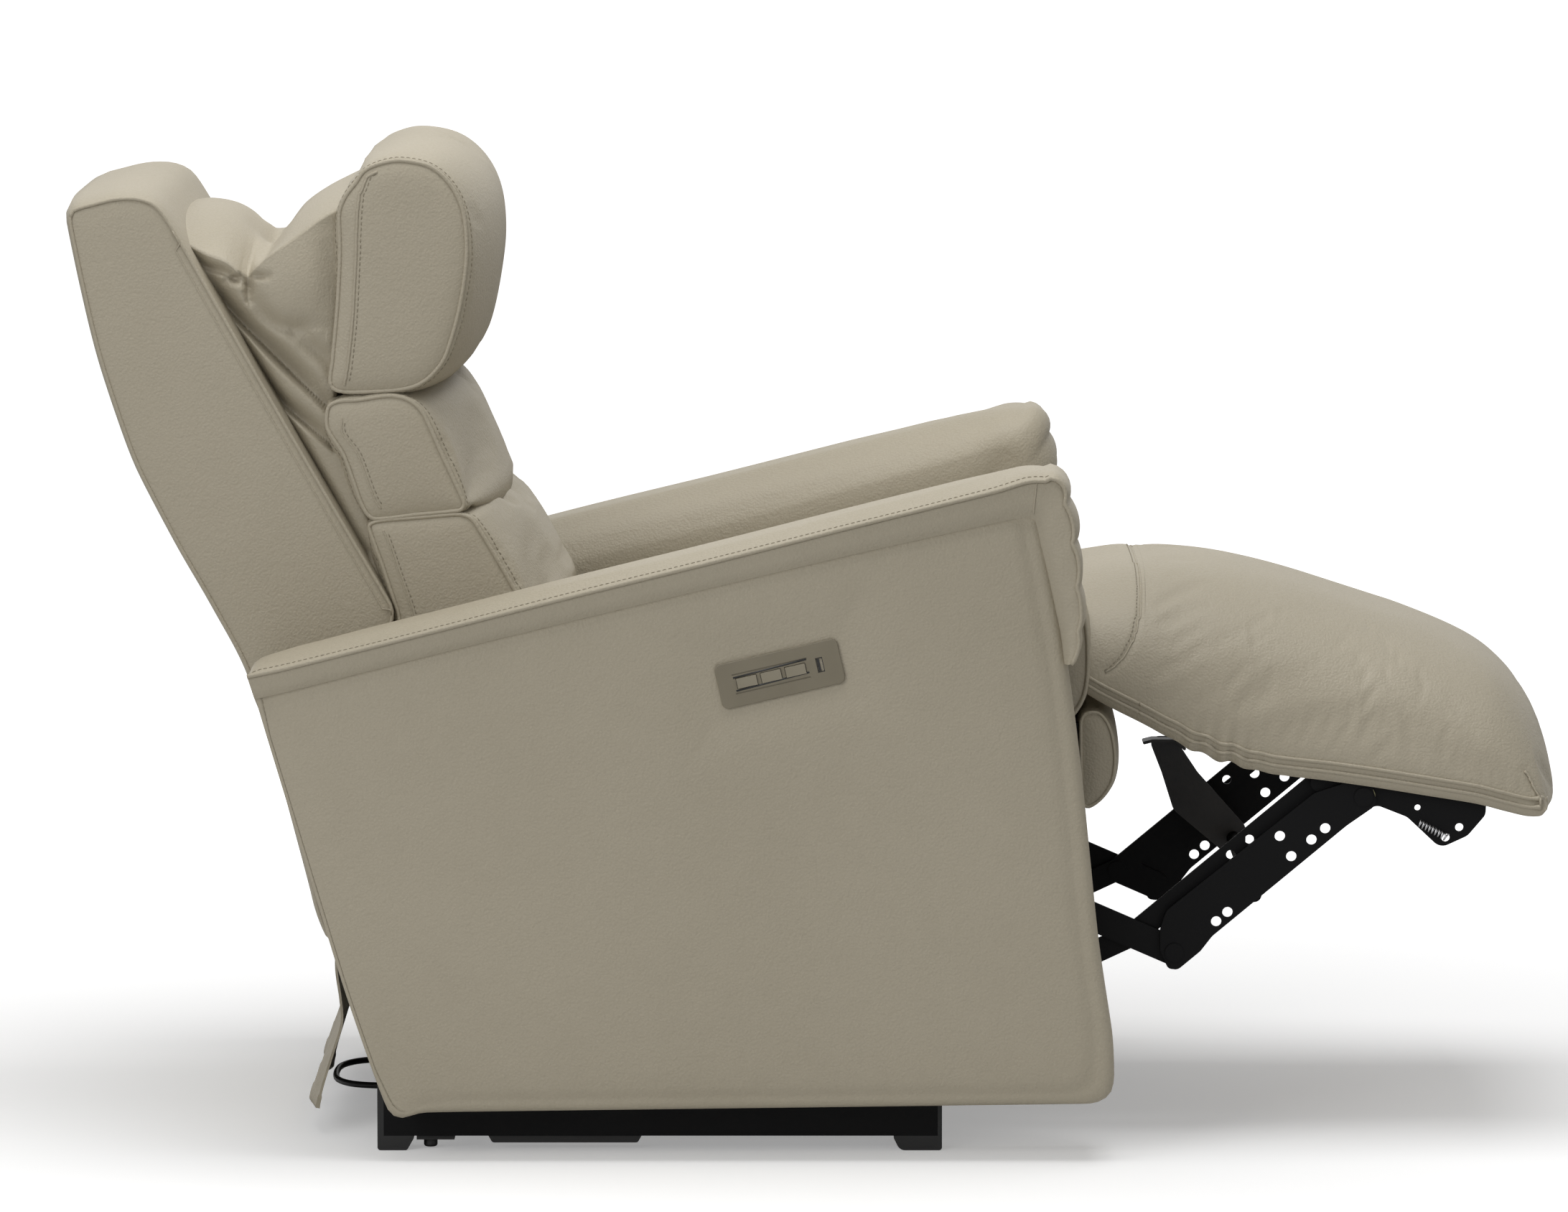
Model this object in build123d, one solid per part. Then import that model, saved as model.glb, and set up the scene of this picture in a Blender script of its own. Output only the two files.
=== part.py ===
"""Power recliner: arms and base, sliding seat, folding footrest, reclining back and headrest.

Millimetres. +X is the way the chair faces, +Z is up, the floor is Z = 0.
The solids stand in the rest pose: footrest out, back part-way down, headrest tipped forward.
"""

import math
import os

from build123d import *

# Overall widths, measured from the middle plane
ARM_INNER = 265.0
ARM_THICK = 120.0
PAD_OVERHANG = 10.0
SEAT_SIDE_GAP = 11.0
BACK_SIDE_GAP = 11.0
FOOT_SIDE_GAP = 15.0
SEAT_HALF = ARM_INNER - SEAT_SIDE_GAP
BACK_HALF = ARM_INNER - BACK_SIDE_GAP
FOOT_HALF = ARM_INNER - FOOT_SIDE_GAP

# Arm outline
ARM_BOTTOM_Z = 48.0
ARM_WALL = 12.0
ARM_REAR_TOP = (-532.0, 441.0)
ARM_REAR_BOTTOM = (-399.0, ARM_BOTTOM_Z)
ARM_FRONT_BOTTOM = (276.0, ARM_BOTTOM_Z)
ARM_FRONT_MID = (244.0, 370.0)
ARM_FRONT_TOP = (200.0, 618.0)
SOFT_GAP = 0.4

# Base
RAIL_INSET = 17.0
RAIL_INNER = ARM_INNER + RAIL_INSET
RAIL_WIDE = 32.0
RAIL_BOTTOM_Z = 14.0
RAIL_WALL = 3.0
RAIL_REAR_X = -417.0
RAIL_FRONT_X = 109.0
TUBE_WIDE = 30.0
TUBE_REAR_X = -352.0
TUBE_FRONT_X = 60.0
TUBE_BOTTOM_Z = 16.0

# Link layers, from the arm inwards
PLATE_THICK = 4.0
LAYER_GAP = 2.0
CAM_LAYER_GAP = 3.0
CAM_SIDE_GAP = 22.0
CAM_Y = ARM_INNER - CAM_SIDE_GAP - PLATE_THICK
FRONT_Y = CAM_Y - CAM_LAYER_GAP - PLATE_THICK
REAR_Y = FRONT_Y - LAYER_GAP - PLATE_THICK
UPPER_Y = REAR_Y - LAYER_GAP - PLATE_THICK
CARRIAGE_Y = UPPER_Y - LAYER_GAP - PLATE_THICK

# Footrest linkage
FOLD = 76.0
FRONT_SWING = 95.2
SEAT_TRAVEL = 90.0
REAR_LINK = 155.9
REAR_SLOPE = -23.5
FRONT_LINK = 234.3
FRONT_SLOPE = 39.8
PIVOT_V = (336.0, 178.0)
PIVOT_STEP = (-38.0, 16.0)
CAM_ARM = 124.0
CAM_ARM_ANGLE = 178.0
CAM_KNEE = 50.0
CAM_KNEE_ANGLE = 205.0
PIN_R = 5.0
PIN_GAP = 0.08
HEAD_R = 9.0
CAM_GAP = 0.7

# Seat slide
TRACK_DEEP = 20.0
TRACK_SIDE_GAP = 4.0
TRACK_Y = CARRIAGE_Y - TRACK_SIDE_GAP - TRACK_DEEP
TRACK_Z = 196.0
TRACK_HIGH = 36.0
TRACK_WALL = 3.0
SHOE_GAP = 0.4
SHOE_LONG = 60.0
SHOE_REAR_X = -250.0
SHOE_FRONT_X = 10.0

# Seat deck: the slanting top line of the seat rails
DECK_REAR = (-274.0, 350.0)
DECK_FRONT = (243.0, 400.0)
SEAT_RAIL_WIDE = 28.0
SEAT_RAIL_HIGH = 26.0
WEB_THICK = 3.0
WEB_WIDE = 52.0
WEB_COUNT = 5

# Motors
ROD_R = 8.0
ROD_GAP = 0.4
MOTOR_TUBE_R = 15.0
DRIVE_Z = 120.0
DRIVE_TUBE_REAR_X = -300.0
DRIVE_TUBE_FRONT_X = -60.0
DRIVE_ROD_X = 60.0
BACK_ROD_Y = 74.0

# Back
BACK_PIVOT = (-312.0, 400.0)
BACK_LEAN = 29.7
BACK_LEVER = 90.0
HINGE_TUBE_R = 12.5
HINGE_PIN_R = 8.0
BAR_THICK = 14.0
BAR_WIDE = 36.0
BAR_Y = 158.0
SHELL_FRONT_W = -32.0
SHELL_LOW_Z = 190.0
SHELL_WALL = 12.0
LUMBAR_INSET = 6.0
GUSSET_INSET = 18.0
SKIRT_INSET = 29.0

# Headrest
HEAD_PIVOT_U = 357.0
HEAD_PIVOT_W = 12.0
HEAD_LEVER = 90.0
HEAD_INSET = 8.0
HEAD_HALF = BACK_HALF - HEAD_INSET
HEAD_REAR_LOW = (-456.5, 718.0)
HEAD_REAR_HIGH = (-443.0, 900.0)
HEAD_PLATE_LOW = 16.0
HEAD_PLATE_HIGH = 150.0
HEAD_BRACKET_THICK = 6.0
HEAD_FRAME_GAP = 2.0
HEAD_FRAME_HALF = BAR_Y - HEAD_BRACKET_THICK - HEAD_FRAME_GAP
HEAD_TUBE_R = 9.0
HEAD_PIN_R = 5.5
HEAD_ROD_R = 6.0
HEAD_SWING = 30.0

# Control plate
CONTROL_AT = (-41.0, 464.0)
CONTROL_TILT = 13.0
CONTROL_LONG = 118.0
CONTROL_HIGH = 43.0
CONTROL_THICK = 3.0
BUTTON_LONG = 19.0
BUTTON_HIGH = 9.6
BUTTON_PITCH = 23.4
BUTTON_FIRST = -31.5
BUTTON_COUNT = 3
BUTTON_GAP = 0.5
AXLE_R = 1.2
AXLE_GAP = 0.08
AXLE_DEPTH = 1.5
PORT_WIDE = 6.4
PORT_LONG = 13.9
PORT_DEEP = 15.0
PORT_WALL = 0.5
PORT_GAP = 0.1

# Cable
CABLE_R = 3.2
CABLE_Z = 24.0
CABLE_HALF = 82.0
CABLE_CORNER = 0.45

# Springs on the footrest brackets
SPRING_R = 4.0
SPRING_WIRE = 1.5
SPRING_PITCH = 3.4
SPRING_TURNS = 9
SPRING_ANGLE = -28.0
SPRING_GAP = 0.3

os.makedirs("parts", exist_ok=True)
RIGHT = -1.0
LEFT = 1.0


def xz_plane(y):
    return Plane(origin=(0, y, 0), x_dir=(1, 0, 0), z_dir=(0, -1, 0))


def corner_radius(before, corner, after, wanted):
    """The wanted corner radius, or less where the two edges are too short for it."""
    a = (before[0] - corner[0], before[1] - corner[1])
    b = (after[0] - corner[0], after[1] - corner[1])
    long_a = math.hypot(*a)
    long_b = math.hypot(*b)
    cosine = (a[0] * b[0] + a[1] * b[1]) / (long_a * long_b)
    half_inside = math.acos(max(-1.0, min(1.0, cosine))) / 2
    return min(wanted, 0.46 * min(long_a, long_b) * math.tan(half_inside))


def outline(points, radii):
    """A closed side outline with a rounding at each corner that has a radius."""
    count = len(points)
    fitted = []
    for i in range(count):
        fitted.append(corner_radius(points[i - 1], points[i], points[(i + 1) % count], radii[i]))
    return make_face(FilletPolyline(*points, radius=fitted, close=True))


def slab(shape, y_from, y_to):
    """A flat piece of one side outline between two Y values."""
    low = min(y_from, y_to)
    high = max(y_from, y_to)
    return extrude(xz_plane(high) * shape, amount=high - low)


def side_slab(shape, side, y_near, y_far):
    return slab(shape, side * y_near, side * y_far)


def bar(at, to, wide):
    """A straight link outline with round ends."""
    long = math.dist(at, to)
    turn = math.degrees(math.atan2(to[1] - at[1], to[0] - at[0]))
    middle = ((at[0] + to[0]) / 2, (at[1] + to[1]) / 2)
    return Pos(middle[0], middle[1]) * Rot(0, 0, turn) * SlotCenterToCenter(long, wide)


def disc(at, r):
    return Pos(at[0], at[1]) * Circle(r)


def pin(at, r, side, y_near, y_far):
    return side_slab(disc(at, r), side, y_near, y_far)


def swing(point, about, degrees):
    """A point of the side view turned about another, anticlockwise as seen from the near side."""
    a = math.radians(degrees)
    x = point[0] - about[0]
    z = point[1] - about[1]
    return (about[0] + x * math.cos(a) - z * math.sin(a), about[1] + x * math.sin(a) + z * math.cos(a))


def along(at, degrees, distance):
    a = math.radians(degrees)
    return (at[0] + distance * math.cos(a), at[1] + distance * math.sin(a))


def block(x0, x1, y0, y1, z0, z1):
    return Pos((x0 + x1) / 2, (y0 + y1) / 2, (z0 + z1) / 2) * Box(x1 - x0, y1 - y0, z1 - z0)


def cushion(sections, radii):
    """A padded piece: side outlines at several Y values, joined in bands."""
    faces = [xz_plane(y) * outline(points, radii) for y, points in sections]
    return loft(faces, ruled=True)


def crowned(half, edge_wide, edge, side, quarter, middle):
    """Outlines across a symmetric cushion: drawn-in edges, sides, and a fuller middle."""
    right = [(-half, edge), (-half + edge_wide, side), (-half * 0.5, quarter)]
    left = [(half * 0.5, quarter), (half - edge_wide, side), (half, edge)]
    return right + [(0, middle)] + left


def save(name, *solids):
    shape = solids[0] if len(solids) == 1 else Compound(children=[s for s in solids])
    export_step(shape, f"parts/{name}.step")


def deck_z(x):
    return DECK_REAR[1] + (x - DECK_REAR[0]) * (DECK_FRONT[1] - DECK_REAR[1]) / (DECK_FRONT[0] - DECK_REAR[0])


# Arms: hollow upholstered boxes, each standing on a base rail
ARM_OUTER = ARM_INNER + ARM_THICK
arm_points = [ARM_REAR_TOP, ARM_REAR_BOTTOM, ARM_FRONT_BOTTOM, ARM_FRONT_MID, ARM_FRONT_TOP]
arm_face = outline(arm_points, [12, 24, 36, 1200, 10])
control_plane = Plane(
    origin=(CONTROL_AT[0], -ARM_OUTER, CONTROL_AT[1]),
    x_dir=(math.cos(math.radians(CONTROL_TILT)), 0, math.sin(math.radians(CONTROL_TILT))),
    z_dir=(0, -1, 0),
)
BOX_LONG = CONTROL_LONG - 14.0
BOX_HIGH = CONTROL_HIGH - 13.0
BOX_DEEP = 26.0


def arm_panel(side):
    body = side_slab(arm_face, side, ARM_INNER, ARM_OUTER)
    rim = body.faces().sort_by(Axis.Y)[-1 if side > 0 else 0].edges()
    body = fillet(rim, 8)
    void = side_slab(offset(arm_face, -ARM_WALL), side, ARM_INNER + ARM_WALL, ARM_OUTER - ARM_WALL)
    return body - void


def arm_pad_points(rise, forward):
    """Side outline of the padded arm top and its front facing."""
    rear_x, rear_z = ARM_REAR_TOP
    front_x, front_z = ARM_FRONT_TOP
    return [
        (rear_x - 3, rear_z - 0.7 + SOFT_GAP),
        (front_x + SOFT_GAP, front_z + 0.1 + SOFT_GAP),
        (front_x + 25.2 + SOFT_GAP, front_z - 142),
        (front_x + 31 + 0.3 * forward, front_z - 143),
        (front_x + 38 + forward, front_z - 96),
        (front_x + 24 + forward, front_z + 20),
        (front_x + 6, front_z + 33 + rise),
        (front_x - 32, front_z + 19.5 + rise),
        (rear_x + 32, rear_z + 29 + rise),
        (rear_x - 7, rear_z + 22 + 0.5 * rise),
    ]


def arm_pad(side):
    radii = [3, 4, 2, 4, 60, 14, 18, 60, 30, 6]
    edge = arm_pad_points(-9, -9)
    seam = arm_pad_points(0, 0)
    crown = arm_pad_points(6, 4)
    middle = ARM_INNER + ARM_THICK / 2
    rows = [
        (ARM_INNER - 3, edge),
        (ARM_INNER + 8, seam),
        (middle - 30, crown),
        (middle + 30, crown),
        (ARM_OUTER - 2, seam),
        (ARM_OUTER + PAD_OVERHANG, edge),
    ]
    sections = [(side * y, points) for y, points in rows]
    return cushion(sections, radii)


control_recess = RectangleRounded(BOX_LONG, BOX_HIGH, 4)
control_hole = extrude(control_plane.offset(-ARM_WALL - 1) * control_recess, amount=ARM_WALL + 2)
save("arm_panel_right", arm_panel(RIGHT) - control_hole)
save("arm_panel_left", arm_panel(LEFT))
save("arm_pad_right", arm_pad(RIGHT))
save("arm_pad_left", arm_pad(LEFT))

# Control plate with three rocker buttons and a charging port
port_x = BUTTON_FIRST + BUTTON_COUNT * BUTTON_PITCH
button_xs = [BUTTON_FIRST + i * BUTTON_PITCH for i in range(BUTTON_COUNT)]
plate = extrude(control_plane * RectangleRounded(CONTROL_LONG, CONTROL_HIGH, 6), amount=CONTROL_THICK)
plate_rim = plate.faces().sort_by(Axis.Y)[0].edges()
plate = fillet(plate_rim, 1.0)
box = extrude(control_plane * RectangleRounded(BOX_LONG - 0.6, BOX_HIGH - 0.6, 3.7), amount=-BOX_DEEP)
for x in button_xs:
    opening = Rectangle(BUTTON_LONG + 2 * BUTTON_GAP, BUTTON_HIGH + 2 * BUTTON_GAP)
    plate -= extrude(control_plane * Pos(x, 0) * opening, amount=CONTROL_THICK + 1)
    box -= extrude(control_plane * Pos(x, 0) * opening, amount=-6.5)
    axle = Cylinder(AXLE_R + AXLE_GAP, BUTTON_HIGH + 5)
    box -= control_plane * Pos(x, 0, -AXLE_DEPTH) * Rot(90, 0, 0) * axle
for y in (-BUTTON_HIGH / 2 - 4.2, BUTTON_HIGH / 2 + 4.2):
    middle_x = button_xs[1]
    groove = SlotOverall(2 * BUTTON_PITCH + BUTTON_LONG + 6, 1.2)
    plate -= extrude(control_plane.offset(CONTROL_THICK) * Pos(middle_x, y) * groove, amount=-0.8)
port_hole = Rectangle(PORT_WIDE + 2 * PORT_GAP, PORT_LONG + 2 * PORT_GAP)
plate -= extrude(control_plane * Pos(port_x, 0) * port_hole, amount=CONTROL_THICK + 1)
box -= extrude(control_plane * Pos(port_x, 0) * port_hole, amount=-PORT_DEEP)
save("control_plate", plate)
save("switch_box", box)

shell_front = CONTROL_THICK - 0.6
port_plane = control_plane.offset(shell_front) * Pos(port_x, 0)
port_long = PORT_DEEP + shell_front
port = extrude(port_plane * Rectangle(PORT_WIDE, PORT_LONG), amount=-port_long)
port_void = Rectangle(PORT_WIDE - 2 * PORT_WALL, PORT_LONG - 2 * PORT_WALL)
port -= extrude(port_plane * port_void, amount=-(port_long - 2))
tongue_face = Pos(port_x - 1.0, 0) * Rectangle(1.9, PORT_LONG - 2.6)
tongue = extrude(control_plane.offset(1.0) * tongue_face, amount=-PORT_DEEP)
save("charging_port", port + tongue)


def rocker(x):
    """A rocker button with a dished face and a cross axle."""
    half = BUTTON_LONG / 2
    top = CONTROL_THICK + 1.6
    sides = Polyline((half, top), (half, -3.5), (-half, -3.5), (-half, top))
    face = make_face(sides + ThreePointArc((-half, top), (0, top - 0.9), (half, top)))
    standing = Plane(origin=(x, BUTTON_HIGH / 2, 0), x_dir=(1, 0, 0), z_dir=(0, -1, 0))
    body = control_plane * extrude(standing * face, amount=BUTTON_HIGH)
    axle = control_plane * Pos(x, 0, -AXLE_DEPTH) * Rot(90, 0, 0) * Cylinder(AXLE_R, BUTTON_HIGH + 4)
    return body + axle


for i, x in enumerate(button_xs):
    save(f"rocker_{i + 1}", rocker(x))

# Base: two box rails on feet, joined by two cross tubes
RAIL_OUTER = RAIL_INNER + RAIL_WIDE


def base_rail(side):
    y = sorted((side * RAIL_INNER, side * RAIL_OUTER))
    body = block(RAIL_REAR_X, RAIL_FRONT_X, y[0], y[1], RAIL_BOTTOM_Z, ARM_BOTTOM_Z)
    w = RAIL_WALL
    bore_z = (RAIL_BOTTOM_Z + w, ARM_BOTTOM_Z - w)
    return body - block(RAIL_REAR_X - 1, RAIL_FRONT_X + 1, y[0] + w, y[1] - w, *bore_z)


def cross_tube(x):
    body = block(x, x + TUBE_WIDE, -RAIL_INNER, RAIL_INNER, TUBE_BOTTOM_Z, TUBE_BOTTOM_Z + TUBE_WIDE)
    w = RAIL_WALL
    top = TUBE_BOTTOM_Z + TUBE_WIDE
    return body - block(x + w, x + TUBE_WIDE - w, -RAIL_INNER, RAIL_INNER, TUBE_BOTTOM_Z + w, top - w)


def rear_foot(side):
    points = [
        (RAIL_REAR_X - 6, 0),
        (RAIL_REAR_X + 22, 0),
        (RAIL_REAR_X + 30, RAIL_BOTTOM_Z),
        (RAIL_REAR_X, RAIL_BOTTOM_Z),
        (RAIL_REAR_X, ARM_BOTTOM_Z + 14),
        (RAIL_REAR_X - 6, ARM_BOTTOM_Z + 14),
    ]
    return side_slab(outline(points, [3, 3, 2, 0, 2, 2]), side, RAIL_INNER, RAIL_OUTER)


def front_foot(side):
    points = [
        (RAIL_FRONT_X - 36, 0),
        (RAIL_FRONT_X + 4, 0),
        (RAIL_FRONT_X + 4, ARM_BOTTOM_Z - 0.5),
        (RAIL_FRONT_X, ARM_BOTTOM_Z - 0.5),
        (RAIL_FRONT_X, RAIL_BOTTOM_Z),
        (RAIL_FRONT_X - 43, RAIL_BOTTOM_Z),
    ]
    return side_slab(outline(points, [8, 3, 1, 1, 0, 2]), side, RAIL_INNER, RAIL_OUTER)


def skid(side):
    points = [(-318, RAIL_BOTTOM_Z), (-314, 7), (-176, 7), (-172, RAIL_BOTTOM_Z)]
    return side_slab(outline(points, [0, 3, 3, 0]), side, RAIL_INNER + 3, RAIL_OUTER - 3)


def stud(side):
    y = side * (RAIL_INNER + RAIL_OUTER) / 2
    plate_part = block(-386, -350, y - 11, y + 11, 9.5, RAIL_BOTTOM_Z)
    foot = Pos(-373, y, (1.5 + 10) / 2) * Cylinder(6.5, 8.5)
    foot = fillet(foot.faces().sort_by(Axis.Z)[0].edges(), 2.5)
    return plate_part + foot


save("base_rails", base_rail(RIGHT), base_rail(LEFT))
save("base_tubes", cross_tube(TUBE_REAR_X), cross_tube(TUBE_FRONT_X))
save("rear_feet", rear_foot(RIGHT), rear_foot(LEFT))
save("front_feet", front_foot(RIGHT), front_foot(LEFT))
save("rail_skids", skid(RIGHT), skid(LEFT), stud(RIGHT), stud(LEFT))

# Footrest linkage: pivots of the rest pose, and the path of the cam pin
TUBE_TOP_Z = TUBE_BOTTOM_Z + TUBE_WIDE
PIVOT_A = along(PIVOT_V, REAR_SLOPE + 180, REAR_LINK)
PIVOT_X = (PIVOT_V[0] + PIVOT_STEP[0], PIVOT_V[1] + PIVOT_STEP[1])
PIVOT_U = along(PIVOT_V, FRONT_SLOPE, FRONT_LINK)
PIVOT_W = (PIVOT_U[0] + PIVOT_STEP[0], PIVOT_U[1] + PIVOT_STEP[1])
PIVOT_Q = along(PIVOT_X, CAM_ARM_ANGLE, CAM_ARM)
UPPER_KNEE = along(PIVOT_X, CAM_KNEE_ANGLE, CAM_KNEE)


def cam_point(share):
    """Where the cam pin stands over the base with the footrest folded by a share of its travel."""
    x_pivot = swing(PIVOT_X, PIVOT_A, -FOLD * share)
    q = along(x_pivot, CAM_ARM_ANGLE + (FRONT_SWING - FOLD) * share, CAM_ARM)
    return (q[0] - SEAT_TRAVEL * share, q[1])


def cam_plate(side):
    """A steel plate on the front cross tube, slotted along the path of the cam pin."""
    low = cam_point(1.02)
    middle = cam_point(0.5)
    high = cam_point(-0.02)
    tube_end = TUBE_FRONT_X + TUBE_WIDE
    points = [
        (low[0] - 18, low[1] - 18),
        (low[0] - 18, low[1] + 18),
        (middle[0] - 20, middle[1] + 26),
        (high[0] - 30, high[1] + 18),
        (high[0] + 14, high[1] + 18),
        (high[0] + 14, high[1] - 16),
        (middle[0] + 40, middle[1] - 16),
        (tube_end + 6, TUBE_TOP_Z),
        (TUBE_FRONT_X - 6, TUBE_TOP_Z),
        (middle[0] - 50, middle[1] - 42),
    ]
    path = ThreePointArc(low, middle, high)
    slot = SlotArc(path, 2 * (PIN_R + CAM_GAP))
    shape = outline(points, [14, 14, 40, 20, 14, 14, 30, 4, 4, 30]) - slot
    body = side_slab(shape, side, CAM_Y, CAM_Y + PLATE_THICK)
    y = sorted((side * CAM_Y, side * RAIL_INNER))
    return body + block(TUBE_FRONT_X, tube_end, y[0], y[1], TUBE_TOP_Z, ARM_BOTTOM_Z)


save("cam_plates", cam_plate(RIGHT), cam_plate(LEFT))

# Slide tracks on posts


def track(side):
    y = sorted((side * TRACK_Y, side * (TRACK_Y + TRACK_DEEP)))
    body = block(TUBE_REAR_X, TUBE_FRONT_X + TUBE_WIDE, y[0], y[1], TRACK_Z, TRACK_Z + TRACK_HIGH)
    v = sorted((side * (TRACK_Y + TRACK_WALL), side * (TRACK_Y + TRACK_DEEP + 1)))
    w = TRACK_WALL
    inside_z = (TRACK_Z + w, TRACK_Z + TRACK_HIGH - w)
    return body - block(TUBE_REAR_X - 1, TUBE_FRONT_X + TUBE_WIDE + 1, v[0], v[1], *inside_z)


def post(side, x):
    y = sorted((side * (TRACK_Y - PLATE_THICK), side * TRACK_Y))
    return block(x, x + TUBE_WIDE, y[0], y[1], TUBE_TOP_Z, TRACK_Z + TRACK_HIGH)


save("slide_tracks", track(RIGHT), track(LEFT))
save("track_posts", *[post(s, x) for s in (RIGHT, LEFT) for x in (TUBE_REAR_X, TUBE_FRONT_X)])

# Seat motor: housing and tube stay on the base, the rod goes with the seat
ROD_FRONT_R = ROD_R + 1.0


def along_x(r, x0, x1, y, z):
    return Pos((x0 + x1) / 2, y, z) * Rot(0, 90, 0) * Cylinder(r, x1 - x0)


drive_tube = along_x(MOTOR_TUBE_R + 2, DRIVE_TUBE_REAR_X, DRIVE_TUBE_FRONT_X, 0, DRIVE_Z)
drive_tube -= along_x(ROD_FRONT_R + ROD_GAP, DRIVE_TUBE_FRONT_X - 160, DRIVE_TUBE_FRONT_X + 1, 0, DRIVE_Z)
drive_motor = block(TUBE_REAR_X, DRIVE_TUBE_REAR_X, -34, 34, TUBE_TOP_Z, DRIVE_Z + 30)
drive_motor = fillet(drive_motor.edges().filter_by(Axis.Y), 5)
save("seat_motor", drive_motor + drive_tube)

# Control box and the cable loop it holds behind the chair
BOX_FRONT_X = TUBE_REAR_X
BOX_REAR_X = TUBE_REAR_X - 66
control_box = block(BOX_REAR_X, BOX_FRONT_X, -118, 118, TUBE_BOTTOM_Z - 2, TUBE_TOP_Z)
control_box = fillet(control_box.edges().filter_by(Axis.Z), 4)
gland_x = BOX_REAR_X - 12
for y in (-CABLE_HALF, CABLE_HALF):
    control_box += along_x(CABLE_R + 2.4, gland_x, BOX_REAR_X + 2, y, CABLE_Z)
    control_box -= along_x(CABLE_R, gland_x - 1, BOX_REAR_X + 6, y, CABLE_Z)
save("control_box", control_box)
cable_half_route = [
    (BOX_REAR_X + 6, CABLE_HALF),
    (BOX_REAR_X - 30, CABLE_HALF),
    (BOX_REAR_X - 56, 52),
    (BOX_REAR_X - 60, 0),
]
cable_route = cable_half_route + [(x, -y) for x, y in cable_half_route[-2::-1]]
cable_radii = []
for before, corner, after in zip(cable_route, cable_route[1:], cable_route[2:]):
    run_in = math.dist(before, corner)
    run_out = math.dist(corner, after)
    heading_in = math.atan2(corner[1] - before[1], corner[0] - before[0])
    heading_out = math.atan2(after[1] - corner[1], after[0] - corner[0])
    half_turn = abs(math.remainder(heading_out - heading_in, 2 * math.pi)) / 2
    cable_radii.append(CABLE_CORNER * min(run_in, run_out) / math.tan(half_turn))
print("cable bend radii:", [round(radius, 1) for radius in cable_radii])
cable_line = FilletPolyline(*[(x, y, CABLE_Z) for x, y in cable_route], radius=cable_radii)
cable_start = Plane(origin=cable_line @ 0, z_dir=cable_line % 0)
save("power_cable", sweep(cable_start * Circle(CABLE_R - 0.1), path=cable_line))

# Seat carriage: side plates with slide shoes, cross tubes and the drive bracket
CARRIAGE_OUT = CARRIAGE_Y + PLATE_THICK
CROSS_R = 12.5
CROSS_REAR = (-230.0, 262.0)
CROSS_FRONT = (DRIVE_ROD_X, 262.0)


def carriage_plate(side):
    hx, hz = BACK_PIVOT
    ax, az = PIVOT_A
    points = [
        (SHOE_REAR_X - 12, TRACK_Z - 4),
        (ax - 55, TRACK_Z - 4),
        (ax + 24, az - 20),
        (ax + 24, az + 24),
        (ax - 28, az + 60),
        (ax - 28, deck_z(ax - 28) - 4),
        (DECK_REAR[0], DECK_REAR[1] - 4),
        (hx + 24, hz + 20),
        (hx - 24, hz + 20),
        (hx - 24, hz - 18),
        (hx + 27, hz - 100),
    ]
    shape = outline(points, [12, 20, 20, 20, 20, 6, 8, 18, 18, 18, 20])
    shape -= disc(BACK_PIVOT, HINGE_PIN_R + PIN_GAP)
    for x in (-150.0, -60.0, 30.0):
        shape -= disc((x, 300), 20)
    body = side_slab(shape, side, CARRIAGE_Y, CARRIAGE_OUT)
    body += pin(PIVOT_A, PIN_R + 6, side, CARRIAGE_OUT, REAR_Y - 0.5)
    body += pin(PIVOT_A, PIN_R + 2, side, REAR_Y - 0.5, REAR_Y + PLATE_THICK + 0.3)
    return body + pin(PIVOT_A, HEAD_R, side, REAR_Y + PLATE_THICK + 0.3, REAR_Y + PLATE_THICK + 1.8)


def shoe(side, x):
    y = sorted((side * (TRACK_Y + TRACK_WALL + 0.5), side * CARRIAGE_Y))
    low = TRACK_Z + TRACK_WALL + SHOE_GAP
    return block(x, x + SHOE_LONG, y[0], y[1], low, TRACK_Z + TRACK_HIGH - TRACK_WALL - SHOE_GAP)


def round_cross(at):
    return slab(disc(at, CROSS_R) - disc(at, CROSS_R - 2), -CARRIAGE_Y, CARRIAGE_Y)


save("carriage_plates", carriage_plate(RIGHT), carriage_plate(LEFT))
save("slide_shoes", *[shoe(s, x) for s in (RIGHT, LEFT) for x in (SHOE_REAR_X, SHOE_FRONT_X)])
save("carriage_tubes", round_cross(CROSS_REAR), round_cross(CROSS_FRONT))
lug_points = [
    (DRIVE_ROD_X - 16, DRIVE_Z - 16),
    (DRIVE_ROD_X + 16, DRIVE_Z - 16),
    (DRIVE_ROD_X + 18, CROSS_FRONT[1] + 18),
    (DRIVE_ROD_X - 18, CROSS_FRONT[1] + 18),
]
lug = slab(outline(lug_points, [10, 10, 16, 16]) - disc(CROSS_FRONT, CROSS_R), -9, 9)
rod = along_x(ROD_FRONT_R, DRIVE_TUBE_FRONT_X - 60, DRIVE_ROD_X - 16, 0, DRIVE_Z)
save("drive_rod", lug + rod)

# Seat frame: slanting side rails, front and rear rails, webbing
SEAT_RAIL_OUT = CARRIAGE_OUT + SEAT_RAIL_WIDE


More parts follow.
